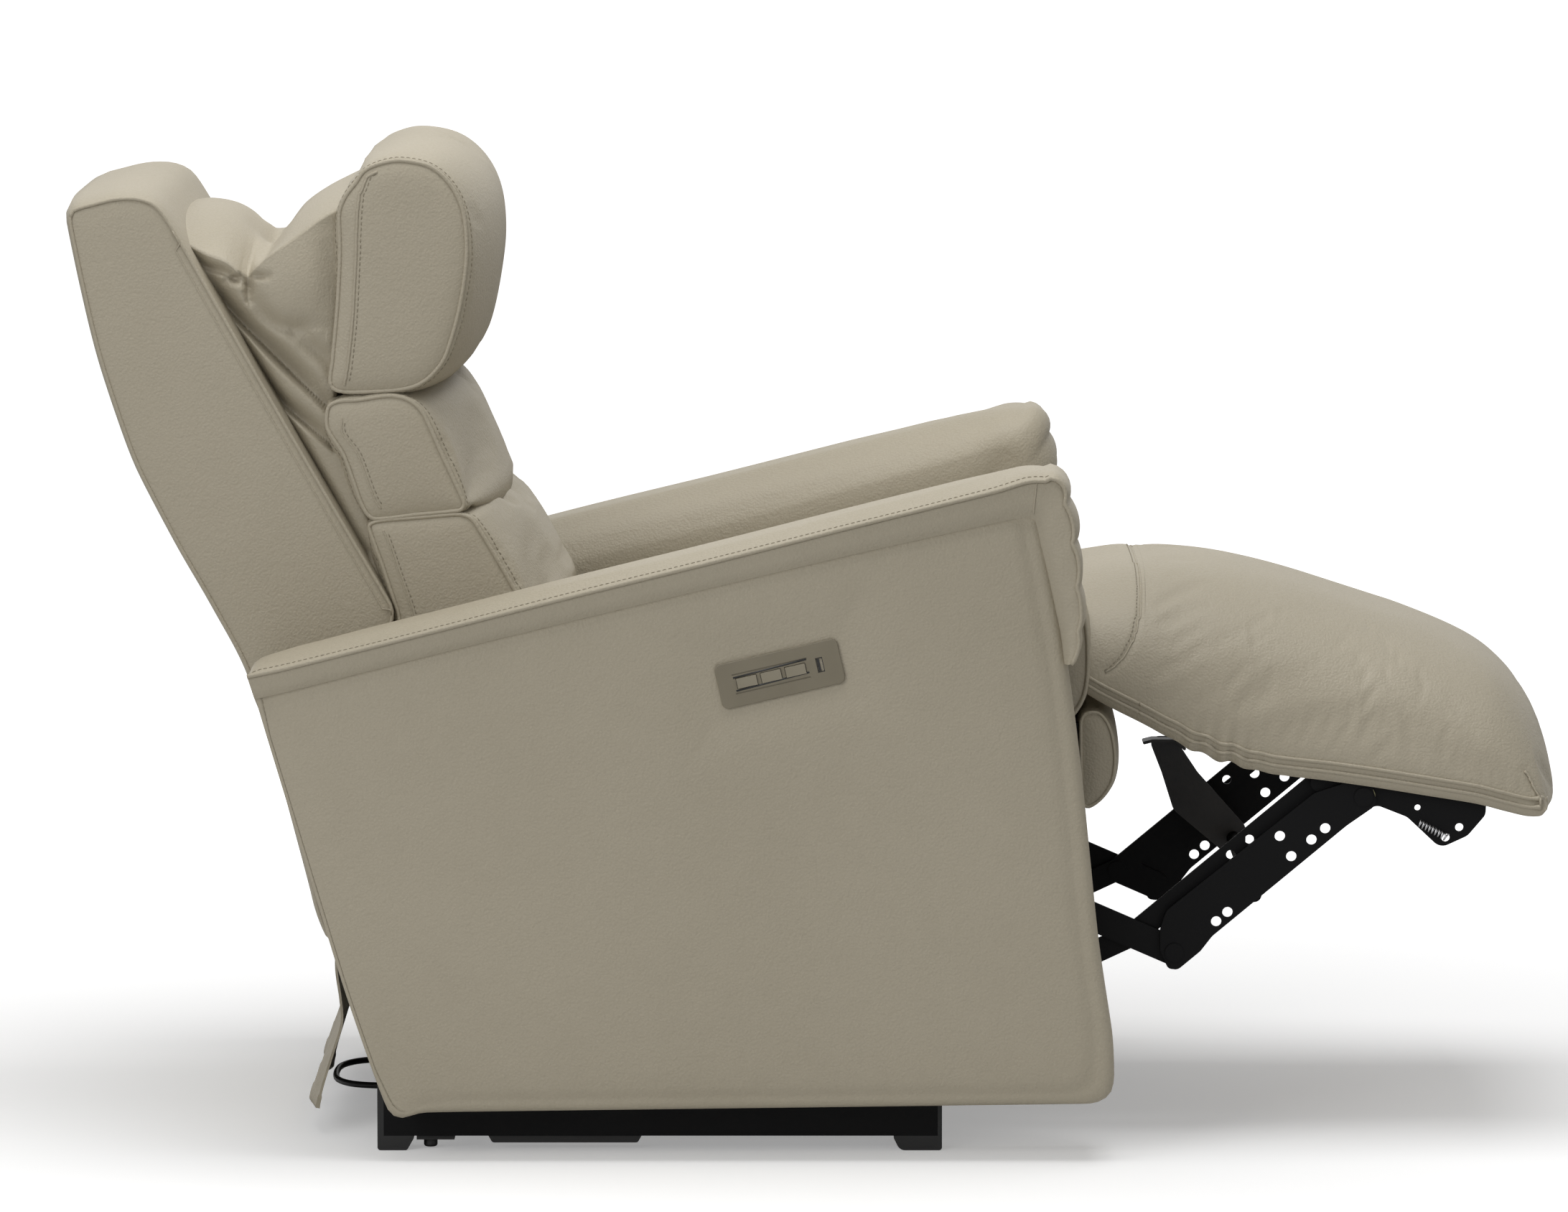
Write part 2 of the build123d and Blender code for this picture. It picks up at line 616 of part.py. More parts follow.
def seat_side_rail(side):
    x0, x1 = DECK_REAR[0] + 22, DECK_FRONT[0] - 22
    points = [
        (x0, deck_z(x0) - SEAT_RAIL_HIGH),
        (x1, deck_z(x1) - SEAT_RAIL_HIGH),
        (x1, deck_z(x1)),
        (x0, deck_z(x0)),
    ]
    return side_slab(make_face(Polyline(*points, close=True)), side, CARRIAGE_OUT, SEAT_RAIL_OUT)


def seat_cross_rail(x0, x1, high, half):
    points = [(x0, deck_z(x0) - high), (x1, deck_z(x1) - high), (x1, deck_z(x1)), (x0, deck_z(x0))]
    return slab(make_face(Polyline(*points, close=True)), -half, half)


front_rail = seat_cross_rail(DECK_FRONT[0] - 22, DECK_FRONT[0], 58, SEAT_RAIL_OUT)
rear_rail = seat_cross_rail(DECK_REAR[0], DECK_REAR[0] + 22, SEAT_RAIL_HIGH, CARRIAGE_Y)
save("seat_frame", seat_side_rail(RIGHT), seat_side_rail(LEFT), front_rail, rear_rail)
web_points = [
    (DECK_REAR[0] + 4, deck_z(DECK_REAR[0] + 4)),
    (DECK_FRONT[0] - 4, deck_z(DECK_FRONT[0] - 4)),
    (DECK_FRONT[0] - 4, deck_z(DECK_FRONT[0] - 4) + WEB_THICK),
    (DECK_REAR[0] + 4, deck_z(DECK_REAR[0] + 4) + WEB_THICK),
]
web_face = make_face(Polyline(*web_points, close=True))
web_step = (2 * SEAT_RAIL_OUT - 40 - WEB_WIDE) / (WEB_COUNT - 1)
web_first = -SEAT_RAIL_OUT + 20
web_ys = [web_first + i * web_step for i in range(WEB_COUNT)]
save("seat_webbing", *[slab(web_face, y, y + WEB_WIDE) for y in web_ys])

# Seat cushion, padded front rail and the soft bridge to the footrest
SEAT_TAIL_X = -262.0
SEAT_REAR_X = -215.0
SEAT_FRONT_X = 262.0


def seat_points(rise, draw):
    """Side outline of the seat cushion, with its crown raised and its sides drawn in."""
    lift = WEB_THICK + SOFT_GAP
    return [
        (SEAT_TAIL_X + draw, deck_z(SEAT_TAIL_X) + lift + draw),
        (DECK_FRONT[0] - 4, deck_z(DECK_FRONT[0] - 4) + lift + draw),
        (SEAT_FRONT_X - 4 - draw, 424 + draw),
        (SEAT_FRONT_X - draw, 470),
        (SEAT_FRONT_X - 4 - draw, 518 + rise),
        (SEAT_FRONT_X - 60, 532 + rise),
        (SEAT_REAR_X + 30, 466 + rise),
        (SEAT_REAR_X - 2, 444 + 0.4 * rise),
        (SEAT_TAIL_X + draw, 424),
    ]


seat_rows = crowned(
    SEAT_HALF, 16, seat_points(-14, 8), seat_points(0, 0), seat_points(8, 0), seat_points(10, 0)
)
save("seat_cushion", cushion(seat_rows, [6, 8, 20, 40, 14, 60, 40, 30, 8]))


def front_pad_points(draw):
    x = DECK_FRONT[0] + SOFT_GAP
    return [
        (x, 318 + draw),
        (262 - draw, 324 + draw),
        (279 - draw, 352),
        (277 - draw, 388),
        (260 - draw, 416 - draw),
        (x, 403 - draw),
    ]


front_rows = [
    (-SEAT_HALF + 4, front_pad_points(5)),
    (-SEAT_HALF + 16, front_pad_points(0)),
    (SEAT_HALF - 16, front_pad_points(0)),
    (SEAT_HALF - 4, front_pad_points(5)),
]
save("front_rail_pad", cushion(front_rows, [2, 12, 20, 20, 10, 2]))

FOOT_REAR_TOP = (318.0, 529.0)
FOOT_REAR_MIDDLE = (298.0, 456.0)
FOOT_REAR_BOTTOM = (296.0, 410.0)
BRIDGE_GAP = 1.0


def bridge_points(rise, draw):
    """Side outline of the soft bridge between the seat and the footrest pad."""
    x = SEAT_FRONT_X + SOFT_GAP
    return [
        (x, 428 + draw),
        (272, 419 + draw),
        (FOOT_REAR_BOTTOM[0] - BRIDGE_GAP, FOOT_REAR_BOTTOM[1] + draw),
        (FOOT_REAR_MIDDLE[0] - BRIDGE_GAP, FOOT_REAR_MIDDLE[1]),
        (FOOT_REAR_TOP[0] - BRIDGE_GAP, FOOT_REAR_TOP[1] + rise),
        (292, 532 + rise),
        (x, 526 + rise),
    ]


bridge_rows = crowned(
    FOOT_HALF - 2, 16, bridge_points(-12, 5), bridge_points(0, 0), bridge_points(6, 0), bridge_points(8, 0)
)
save("chaise_bridge", cushion(bridge_rows, [2, 6, 2, 40, 4, 20, 4]))

# Linkage pieces
LINK_WIDE = 27.0
UPPER_WIDE = 22.0


def rear_link(side):
    shape = bar(PIVOT_A, PIVOT_V, LINK_WIDE) - disc(PIVOT_A, PIN_R + 2 + PIN_GAP)
    body = side_slab(shape, side, REAR_Y, REAR_Y + PLATE_THICK)
    body += pin(PIVOT_X, PIN_R, side, UPPER_Y - 0.3, REAR_Y)
    body += pin(PIVOT_X, HEAD_R, side, UPPER_Y - 1.8, UPPER_Y - 0.3)
    body += pin(PIVOT_V, PIN_R, side, REAR_Y + PLATE_THICK, FRONT_Y + PLATE_THICK + 0.3)
    return body + pin(PIVOT_V, HEAD_R, side, FRONT_Y + PLATE_THICK + 0.3, FRONT_Y + PLATE_THICK + 1.8)


def upper_link(side):
    shape = bar(PIVOT_Q, UPPER_KNEE, UPPER_WIDE) + bar(UPPER_KNEE, PIVOT_X, UPPER_WIDE)
    shape += bar(PIVOT_X, PIVOT_W, UPPER_WIDE)
    shape -= disc(PIVOT_X, PIN_R + PIN_GAP)
    shape -= disc(PIVOT_W, PIN_R + PIN_GAP)
    for distance in (120.0, 143.0):
        shape -= disc(along(PIVOT_X, FRONT_SLOPE, distance), 4.5)
    body = side_slab(shape, side, UPPER_Y, UPPER_Y + PLATE_THICK)
    body += pin(PIVOT_Q, PIN_R, side, UPPER_Y + PLATE_THICK, CAM_Y + PLATE_THICK + 0.4)
    return body + pin(PIVOT_Q, HEAD_R, side, CAM_Y + PLATE_THICK + 0.4, CAM_Y + PLATE_THICK + 2.4)


def link_frame(at, slope):
    return Pos(at[0], at[1]) * Rot(0, 0, slope)


CROSS_ALONG = 94.0
CROSS_BELOW = -6.5
LINK_TUBE_R = 7.0
link_cross_at = swing((PIVOT_V[0] + CROSS_ALONG, PIVOT_V[1] + CROSS_BELOW), PIVOT_V, FRONT_SLOPE)


def front_link(side):
    """The broad front link, drawn along its pivot line, with its row of punched holes."""
    end = FRONT_LINK
    points = [
        (-14.5, -8),
        (-8, -15),
        (20, -15),
        (38, -11),
        (end - 30, -11),
        (end + 6, -14),
        (end + 14, 6),
        (end - 6, 22),
        (end - 34, 33),
        (20, 36),
        (4, 26),
        (-9, 10),
    ]
    shape = link_frame(PIVOT_V, FRONT_SLOPE) * outline(points, [6, 8, 12, 20, 20, 10, 10, 16, 20, 14, 12, 8])
    shape -= disc(PIVOT_V, PIN_R + PIN_GAP)
    shape -= disc(PIVOT_U, PIN_R + PIN_GAP)
    holes = ((50, -2.5, 5), (64, -2.5, 5), (145, 0, 5), (170, 0, 5), (187, 0, 5), (149, 22, 5))
    for a, b, r in holes:
        shape -= link_frame(PIVOT_V, FRONT_SLOPE) * Pos(a, b) * Circle(r)
    return side_slab(shape, side, FRONT_Y, FRONT_Y + PLATE_THICK)


save("rear_link_right", rear_link(RIGHT))
save("rear_link_left", rear_link(LEFT))
save("upper_link_right", upper_link(RIGHT))
save("upper_link_left", upper_link(LEFT))
save("front_link_right", front_link(RIGHT))
save("front_link_left", front_link(LEFT))
cross_ring = disc(link_cross_at, LINK_TUBE_R) - disc(link_cross_at, LINK_TUBE_R - 2)
save("link_cross_tube", slab(cross_ring, -FRONT_Y, FRONT_Y))

# Upright bracket clamped round the cross tube, with a curled top flange
bracket_points = [
    (link_cross_at[0] - 12, link_cross_at[1] - 12),
    (link_cross_at[0] + 12, link_cross_at[1] - 12),
    (link_cross_at[0] + 12, link_cross_at[1] + 12),
    (376, 300),
    (352, 336),
    (326, 336),
    (340, 300),
    (352, 262),
]
bracket_face = outline(bracket_points, [9, 9, 9, 12, 8, 8, 14, 14]) - disc(link_cross_at, LINK_TUBE_R)
bracket = slab(bracket_face, 168, 172)
flange_path = FilletPolyline((322, 332), (330, 334), (354, 334), (362, 326), radius=5)
flange = slab(make_face(offset(flange_path, 1.5)), 146, 172)
save("upright_bracket", bracket + flange)

# Footrest: brackets on the linkage, a board and its padding
BOARD_SLOPE = -8.0
BOARD_THICK = 10.0
BOARD_REAR = (410.0, 360.0)
BOARD_LONG = 262.0


def board_point(distance, rise):
    a = math.radians(BOARD_SLOPE)
    return (
        BOARD_REAR[0] + distance * math.cos(a) - rise * math.sin(a),
        BOARD_REAR[1] + distance * math.sin(a) + rise * math.cos(a),
    )


def footrest_bracket(side):
    points = [
        (PIVOT_W[0] - 13, PIVOT_W[1] - 8),
        (PIVOT_U[0] - 6, PIVOT_U[1] - 15),
        (PIVOT_U[0] + 14, PIVOT_U[1] - 9),
        (PIVOT_U[0] + 42, PIVOT_U[1] - 20),
        (PIVOT_U[0] + 74, PIVOT_U[1] - 50),
        (PIVOT_U[0] + 100, PIVOT_U[1] - 38),
        (PIVOT_U[0] + 117, PIVOT_U[1] - 18),
        board_point(226, 0),
        board_point(58, 0),
    ]
    shape = outline(points, [8, 12, 10, 14, 12, 14, 10, 0, 0])
    shape -= disc((PIVOT_U[0] + 92, PIVOT_U[1] - 30), 4)
    shape -= disc((PIVOT_U[0] + 79, PIVOT_U[1] - 40), 4)
    shape -= disc((PIVOT_U[0] + 52, PIVOT_U[1] - 11), 3)
    body = side_slab(shape, side, REAR_Y, REAR_Y + PLATE_THICK)
    top = [board_point(132, 0), board_point(248, 0), board_point(248, -3), board_point(132, -3)]
    body += side_slab(make_face(Polyline(*top, close=True)), side, REAR_Y - 34, REAR_Y)
    body += pin(PIVOT_W, PIN_R, side, UPPER_Y - 0.3, REAR_Y)
    body += pin(PIVOT_W, HEAD_R - 1, side, UPPER_Y - 1.8, UPPER_Y - 0.3)
    body += pin(PIVOT_U, PIN_R, side, REAR_Y + PLATE_THICK, FRONT_Y + PLATE_THICK + 0.3)
    return body + pin(PIVOT_U, HEAD_R, side, FRONT_Y + PLATE_THICK + 0.3, FRONT_Y + PLATE_THICK + 1.8)


def washer(side):
    ring = disc(PIVOT_U, 11.5) - disc(PIVOT_U, PIN_R)
    return side_slab(ring, side, REAR_Y + PLATE_THICK, FRONT_Y - 0.3)


def footrest_spring(side, coil):
    """An open-coiled extension spring lying against the outside of the bracket."""
    wire_start = Plane(origin=coil @ 0, z_dir=coil % 0)
    wire = sweep(wire_start * Circle(SPRING_WIRE / 2), path=coil)
    angle = math.radians(SPRING_ANGLE)
    y = side * (REAR_Y + PLATE_THICK + SPRING_GAP + SPRING_R)
    start = (PIVOT_U[0] + 53, y, PIVOT_U[1] - 25)
    return Plane(origin=start, z_dir=(math.cos(angle), 0, math.sin(angle))) * wire


def least_coil_gap(coil):
    """The least distance between two turns, measured on points along the wire's middle."""
    count = 24 * SPRING_TURNS
    points = [coil @ (i / count) for i in range(count + 1)]
    pairs = [(points[i], points[k]) for i in range(count) for k in range(i + 12, count + 1)]
    return min((a - b).length for a, b in pairs) - SPRING_WIRE


save("footrest_bracket_right", footrest_bracket(RIGHT))
save("footrest_bracket_left", footrest_bracket(LEFT))
save("pivot_washers", washer(RIGHT), washer(LEFT))
spring_coil = Helix(SPRING_PITCH, SPRING_PITCH * SPRING_TURNS, SPRING_R - SPRING_WIRE / 2)
print("least gap between spring turns:", round(least_coil_gap(spring_coil), 2))
save("footrest_springs", footrest_spring(RIGHT, spring_coil), footrest_spring(LEFT, spring_coil))
board_outline = [
    board_point(0, 0),
    board_point(BOARD_LONG, 0),
    board_point(BOARD_LONG, BOARD_THICK),
    board_point(0, BOARD_THICK),
]
board = slab(make_face(Polyline(*board_outline, close=True)), -FOOT_HALF + 6, FOOT_HALF - 6)
for side in (RIGHT, LEFT):
    board -= pin(PIVOT_W, UPPER_WIDE / 2 + 1, side, UPPER_Y - 2.6, REAR_Y)
save("footrest_board", board)


def foot_points(rise, draw):
    """Side outline of the footrest pad: deep at the seat, thin and rounded at the toe."""
    under = board_point(BOARD_LONG, BOARD_THICK + SOFT_GAP)
    return [
        FOOT_REAR_MIDDLE,
        (FOOT_REAR_BOTTOM[0], FOOT_REAR_BOTTOM[1] + draw),
        (344, 381 + draw),
        (BOARD_REAR[0] - 8, BOARD_REAR[1] + 3 + 0.5 * draw),
        board_point(-4, BOARD_THICK + SOFT_GAP),
        (under[0] + 3, under[1]),
        (under[0] + 3, under[1] - 16),
        (under[0] + 14, under[1] - 27),
        (under[0] + 32 - draw, under[1] - 22 + draw),
        (713 - 1.6 * draw, 344),
        (675 - draw, 417 + rise),
        (643 - draw, 441 + rise),
        (530, 481 + rise),
        (400, 521 + rise),
        (FOOT_REAR_TOP[0], FOOT_REAR_TOP[1] + rise),
    ]


foot_rows = crowned(
    FOOT_HALF, 16, foot_points(-13, 12), foot_points(0, 4), foot_points(6, 1), foot_points(8, 0)
)
save("footrest_cushion", cushion(foot_rows, [40, 6, 40, 4, 2, 3, 8, 10, 14, 40, 50, 60, 300, 200, 5]))

# Back: hinge tube with a fork lever, uprights and webbing
lean = math.radians(BACK_LEAN)


def back_point(u, w):
    """A point of the back: u up along it, w forward from it, both from its hinge."""
    return (
        BACK_PIVOT[0] - u * math.sin(lean) + w * math.cos(lean),
        BACK_PIVOT[1] + u * math.cos(lean) + w * math.sin(lean),
    )


def back_face(corners):
    return make_face(Polyline(*[back_point(u, w) for u, w in corners], close=True))


lever_at = (BACK_PIVOT[0], BACK_PIVOT[1] - BACK_LEVER)
fork_face = bar(BACK_PIVOT, (lever_at[0], lever_at[1] - 6), 30)
fork_slot = bar((lever_at[0], lever_at[1] + 6), (lever_at[0], lever_at[1] - 8), 2 * (PIN_R + CAM_GAP))
hinge = slab(disc(BACK_PIVOT, HINGE_TUBE_R), -CARRIAGE_Y + 0.5, CARRIAGE_Y - 0.5)
for y in (BACK_ROD_Y - 5.5, BACK_ROD_Y + 5.5):
    away = -1 if y < BACK_ROD_Y else 1
    hinge += slab(fork_face - fork_slot, y, y + away * 6)
for side in (RIGHT, LEFT):
    hinge += pin(BACK_PIVOT, HINGE_PIN_R, side, CARRIAGE_Y - 0.5, CARRIAGE_OUT + 2)
save("back_hinge", hinge)

BAR_BACK_W = SHELL_FRONT_W
BAR_FRONT_W = BAR_BACK_W + BAR_THICK
BAR_TOP_U = 340.0


def upright(side):
    """A flat upright whose foot is set forward to the hinge tube."""
    face = back_face([
        (-4, -6),
        (-4, 6),
        (30, 6),
        (60, BAR_FRONT_W),
        (BAR_TOP_U, BAR_FRONT_W),
        (BAR_TOP_U, BAR_BACK_W),
        (40, BAR_BACK_W),
    ])
    face -= disc(BACK_PIVOT, HINGE_TUBE_R)
    return side_slab(face, side, BAR_Y, BAR_Y + BAR_WIDE)


save("back_uprights", upright(RIGHT), upright(LEFT))


def back_strap(u):
    low_w = BAR_FRONT_W - WEB_THICK
    face = back_face([(u, low_w), (u + 32, low_w), (u + 32, BAR_FRONT_W), (u, BAR_FRONT_W)])
    return slab(face, -BAR_Y, BAR_Y)


save("back_webbing", *[back_strap(92 + i * 42) for i in range(5)])

# Outer back shell, hollow, with the headrest motor inside
HEAD_PIVOT = back_point(HEAD_PIVOT_U, HEAD_PIVOT_W)
rod_slope = HEAD_SWING / 2 - 2.5
rod_from = along(HEAD_PIVOT, 90 + rod_slope, HEAD_LEVER)
rod_stroke = HEAD_LEVER * math.tan(math.radians(HEAD_SWING / 2))
rod_pin = along(rod_from, rod_slope, rod_stroke)
shell_points = [
    back_point(562, SHELL_FRONT_W),
    back_point(138, SHELL_FRONT_W),
    (-446, 420),
    (-456, 250),
    (-463, SHELL_LOW_Z + 2),
    (-477, SHELL_LOW_Z),
    (-506, 285),
    (-547, 449),
    (-611, 571),
    (-662, 680),
    (-699, 817),
    (-712, 885),
    (-700, 900),
    (-640, 903),
]
shell_face = outline(shell_points, [8, 30, 60, 60, 5, 6, 60, 300, 300, 300, 200, 8, 8, 10])
shell = slab(shell_face, -BACK_HALF, BACK_HALF)
for index in (0, -1):
    shell = fillet(shell.faces().sort_by(Axis.Y)[index].edges(), 5)
void_points = [
    back_point(545, SHELL_FRONT_W - SHELL_WALL),
    back_point(140, SHELL_FRONT_W - SHELL_WALL),
    (-480, 430),
    (-534, 455),
    (-598, 576),
    (-649, 684),
    (-686, 819),
    (-698, 886),
]
void_face = outline(void_points, [8, 20, 20, 40, 200, 200, 200, 6])
shell -= slab(void_face, -BACK_HALF + SHELL_WALL, BACK_HALF - SHELL_WALL)


def rod_place(distance):
    """A plane on the headrest rod's line, a distance back from its pin, looking along the rod."""
    at = along(rod_pin, rod_slope + 180, distance)
    turn = math.radians(rod_slope)
    return Plane(origin=(at[0], 0, at[1]), x_dir=(0, 1, 0), z_dir=(math.cos(turn), 0, math.sin(turn)))


shell -= extrude(rod_place(170) * Circle(HEAD_ROD_R + 3), amount=120)
save("back_shell", shell)
motor_front = 124.0
motor_long = 72.0
head_motor = extrude(rod_place(motor_front + motor_long) * RectangleRounded(62, 44, 6), amount=motor_long)
head_motor -= extrude(rod_place(motor_front + motor_long - 6) * Circle(HEAD_ROD_R + ROD_GAP), amount=motor_long)
save("headrest_motor", head_motor)

head_rod = extrude(rod_place(motor_front + 16) * Circle(HEAD_ROD_R), amount=motor_front + 16 - 6)
head_rod += slab(disc(rod_pin, 9), -5, 5)
head_rod += slab(disc(rod_pin, PIN_R), -17, 17)
save("headrest_rod", head_rod)

# Headrest brackets on the uprights, headrest plate with lever lugs
head_arm = back_face([
    (BAR_TOP_U - 40, BAR_BACK_W),
    (BAR_TOP_U - 40, BAR_FRONT_W),
    (HEAD_PIVOT_U - 10.5, BAR_FRONT_W),
    (HEAD_PIVOT_U - 10.5, HEAD_PIVOT_W + 10),
    (HEAD_PIVOT_U + 10.5, HEAD_PIVOT_W + 10),
    (HEAD_PIVOT_U + 10.5, BAR_BACK_W),
])
head_arm -= disc(HEAD_PIVOT, HEAD_PIN_R + PIN_GAP)
bracket_y = BAR_Y - HEAD_BRACKET_THICK
save("headrest_brackets", *[side_slab(head_arm, s, bracket_y, BAR_Y) for s in (RIGHT, LEFT)])

hx, hz = HEAD_PIVOT


def head_plate_x(z):
    """The front face of the headrest plate, just behind the cushion's rear face."""
    share = (z - HEAD_REAR_LOW[1]) / (HEAD_REAR_HIGH[1] - HEAD_REAR_LOW[1])
    return HEAD_REAR_LOW[0] + share * (HEAD_REAR_HIGH[0] - HEAD_REAR_LOW[0]) - SOFT_GAP


plate_low = hz + HEAD_PLATE_LOW
plate_high = hz + HEAD_PLATE_HIGH
frame_points = [
    (hx - 2, hz - 4),
    (hx + 8, hz - 4),
    (head_plate_x(plate_low), plate_low),
    (head_plate_x(plate_high), plate_high),
    (head_plate_x(plate_high) - PLATE_THICK, plate_high),
    (head_plate_x(plate_low) - PLATE_THICK, plate_low + 3),
    (hx - 2, hz + 6),
]
head_frame = slab(outline(frame_points, [0, 3, 6, 1, 1, 8, 0]), -HEAD_FRAME_HALF, HEAD_FRAME_HALF)
head_frame += slab(disc(HEAD_PIVOT, HEAD_TUBE_R), -HEAD_FRAME_HALF, HEAD_FRAME_HALF)
for side in (RIGHT, LEFT):
    head_frame += pin(HEAD_PIVOT, HEAD_PIN_R, side, HEAD_FRAME_HALF, BAR_Y + 1)
radial = math.degrees(math.atan2(rod_pin[1] - hz, rod_pin[0] - hx))
lug_low = along(HEAD_PIVOT, radial, math.dist(HEAD_PIVOT, rod_pin) - 7)
lug_high = along(HEAD_PIVOT, radial, math.dist(HEAD_PIVOT, rod_pin) + 3)
lug_z = (lug_low[1] - 12, lug_high[1] + 12)
lug_corners = [
    (-488, lug_z[0]),
    (head_plate_x(lug_z[0]) - 2, lug_z[0]),
    (head_plate_x(lug_z[1]) - 2, lug_z[1]),
    (-486, lug_z[1]),
]
lug_face = make_face(Polyline(*lug_corners, close=True))
lug_face -= bar(lug_low, lug_high, 2 * (PIN_R + CAM_GAP))
for y in (7.0, -7.0):
    head_frame += slab(lug_face, y, y + math.copysign(6, y))
save("headrest_frame", head_frame)


def head_points(rise, forward, draw):
    """Side outline of the headrest, fuller towards its middle."""
    return [
        (HEAD_REAR_LOW[0] + 0.4 * draw, HEAD_REAR_LOW[1] + 0.3 * draw),
        (-412, 719.5 + draw),
        (-378 + 0.5 * forward - draw, 727 + draw),
        (-350 + forward - draw, 768),
        (-339 + forward - draw, 830),
        (-340 + forward - draw, 884),
        (-366 + 0.6 * forward - 0.6 * draw, 934 + rise - draw),
        (-400, 938 + rise - draw),
        (-438, 929 + rise - draw),
        (HEAD_REAR_HIGH[0] + 0.4 * draw, HEAD_REAR_HIGH[1]),
    ]


head_rows = crowned(
    HEAD_HALF, 14, head_points(-6, -6, 7), head_points(0, 0, 0), head_points(6, 18, 0), head_points(8, 24, 0)
)
save("headrest_cushion", cushion(head_rows, [5, 30, 24, 60, 100, 40, 30, 30, 8, 40]))

# Lumbar cushions in front of the uprights
CUSHION_BACK_W = BAR_FRONT_W + SOFT_GAP + 0.2


def upper_points(forward, draw):
    """Side outline of the upper lumbar cushion."""
    return [
        back_point(236 + draw, CUSHION_BACK_W),
        (-345 + forward - draw, 609 + 0.62 * forward + draw),
        (-350 + 0.9 * forward - draw, 640 + 0.3 * forward),
        (-371 + 0.8 * forward - draw, 685 + 0.2 * forward),
        (-388 + 0.5 * forward - draw, 710 - draw),
        (-415, 713 - draw),
        (-466 + 0.3 * draw, 704 - draw),
        back_point(336 - draw, CUSHION_BACK_W),
    ]


def lower_points(forward, draw):
    """Side outline of the lower lumbar cushion."""
    return [
        back_point(74 + draw, CUSHION_BACK_W),
        (-272 + 0.5 * forward - draw, 462 + draw),
        (-285 + 0.8 * forward - draw, 512),
        (-305 + 0.95 * forward - draw, 560),
        (-322 + forward - draw, 584 + 0.3 * forward),
        (-344 + forward - draw, 602 + 0.62 * forward - draw),
        back_point(230 - draw, CUSHION_BACK_W),
    ]


LUMBAR_HALF = BACK_HALF - LUMBAR_INSET
upper_rows = crowned(
    LUMBAR_HALF, 14, upper_points(-8, 6), upper_points(0, 0), upper_points(28, 0), upper_points(36, 0)
)
save("lumbar_upper", cushion(upper_rows, [3, 12, 60, 60, 16, 40, 6, 3]))
lower_rows = crowned(
    LUMBAR_HALF, 14, lower_points(-8, 6), lower_points(0, 0), lower_points(28, 0), lower_points(36, 0)
)
save("lumbar_lower", cushion(lower_rows, [3, 20, 60, 60, 30, 12, 3]))

# Gusset: loose gathered leather between shell and headrest
GUSSET_HALF = BACK_HALF - GUSSET_INSET
gusset_line = [(-621, 884), (-555, 868), (-520, 842), (-490, 880), (-455, 908)]
gusset_low = [(x, z - 3.5) for x, z in reversed(gusset_line)]
gusset_top = outline(gusset_line + gusset_low, [0, 20, 6, 20, 0, 0, 20, 9, 20, 0])
gusset_side_points = [
    back_point(140, SHELL_FRONT_W + SOFT_GAP),
    back_point(140, BAR_FRONT_W),
    back_point(334, BAR_FRONT_W),
    (-472, 722),
    (-460, 742),
    (-453, 818),
    (-449, 890),
    (-453, 905),
    (-490, 877),
    (-520, 839),
    (-555, 865),
    back_point(540, SHELL_FRONT_W + SOFT_GAP),
]
gusset_side = outline(gusset_side_points, [0, 0, 4, 4, 6, 20, 4, 2, 20, 6, 20, 2])
gusset = slab(gusset_top, -GUSSET_HALF, GUSSET_HALF)
for side in (RIGHT, LEFT):
    gusset += side_slab(gusset_side, side, GUSSET_HALF - 3, GUSSET_HALF)
save("back_gusset", gusset)

# Rear skirt: loose leather hanging from the shell's lower edge
SKIRT_HALF = BACK_HALF - SKIRT_INSET
skirt_line = [(-472, SHELL_LOW_Z + 0.7 - SOFT_GAP), (-472, 140), (-480, 80), (-494, 27)]
skirt_inner = [(x + 4, z) for x, z in reversed(skirt_line)]
skirt_face = outline(skirt_line + skirt_inner, [0, 60, 120, 1.5, 1.5, 120, 60, 0])
save("rear_skirt", slab(skirt_face, -SKIRT_HALF, SKIRT_HALF))

# Back motor on the carriage and its rod
BACK_ROD_Z = BACK_PIVOT[1] - BACK_LEVER
back_tube = along_x(MOTOR_TUBE_R, -200, 20, BACK_ROD_Y, BACK_ROD_Z)
back_tube -= along_x(ROD_R + ROD_GAP, -201, -100, BACK_ROD_Y, BACK_ROD_Z)
back_motor = block(20, 100, BACK_ROD_Y - 30, BACK_ROD_Y + 30, CROSS_FRONT[1] + 18, BACK_ROD_Z + 28)
back_motor = fillet(back_motor.edges().filter_by(Axis.Y), 5)
ear = [
    (CROSS_FRONT[0] - 18, CROSS_FRONT[1] - 16),
    (CROSS_FRONT[0] + 18, CROSS_FRONT[1] - 16),
    (CROSS_FRONT[0] + 18, CROSS_FRONT[1] + 20),
    (CROSS_FRONT[0] - 18, CROSS_FRONT[1] + 20),
]
back_motor += slab(outline(ear, [12, 12, 0, 0]) - disc(CROSS_FRONT, CROSS_R), BACK_ROD_Y - 10, BACK_ROD_Y + 10)
save("back_motor", back_motor + back_tube)
back_rod = along_x(ROD_R, lever_at[0] + 24, -140, BACK_ROD_Y, BACK_ROD_Z)
back_rod += slab(bar(lever_at, (lever_at[0] + 20, BACK_ROD_Z), 14), BACK_ROD_Y - 5, BACK_ROD_Y + 5)
back_rod += slab(disc(lever_at, PIN_R), BACK_ROD_Y - 13, BACK_ROD_Y + 13)
save("back_rod", back_rod)
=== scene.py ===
"""A power recliner in pebbled taupe leather, shown reclined with its footrest out."""

import math

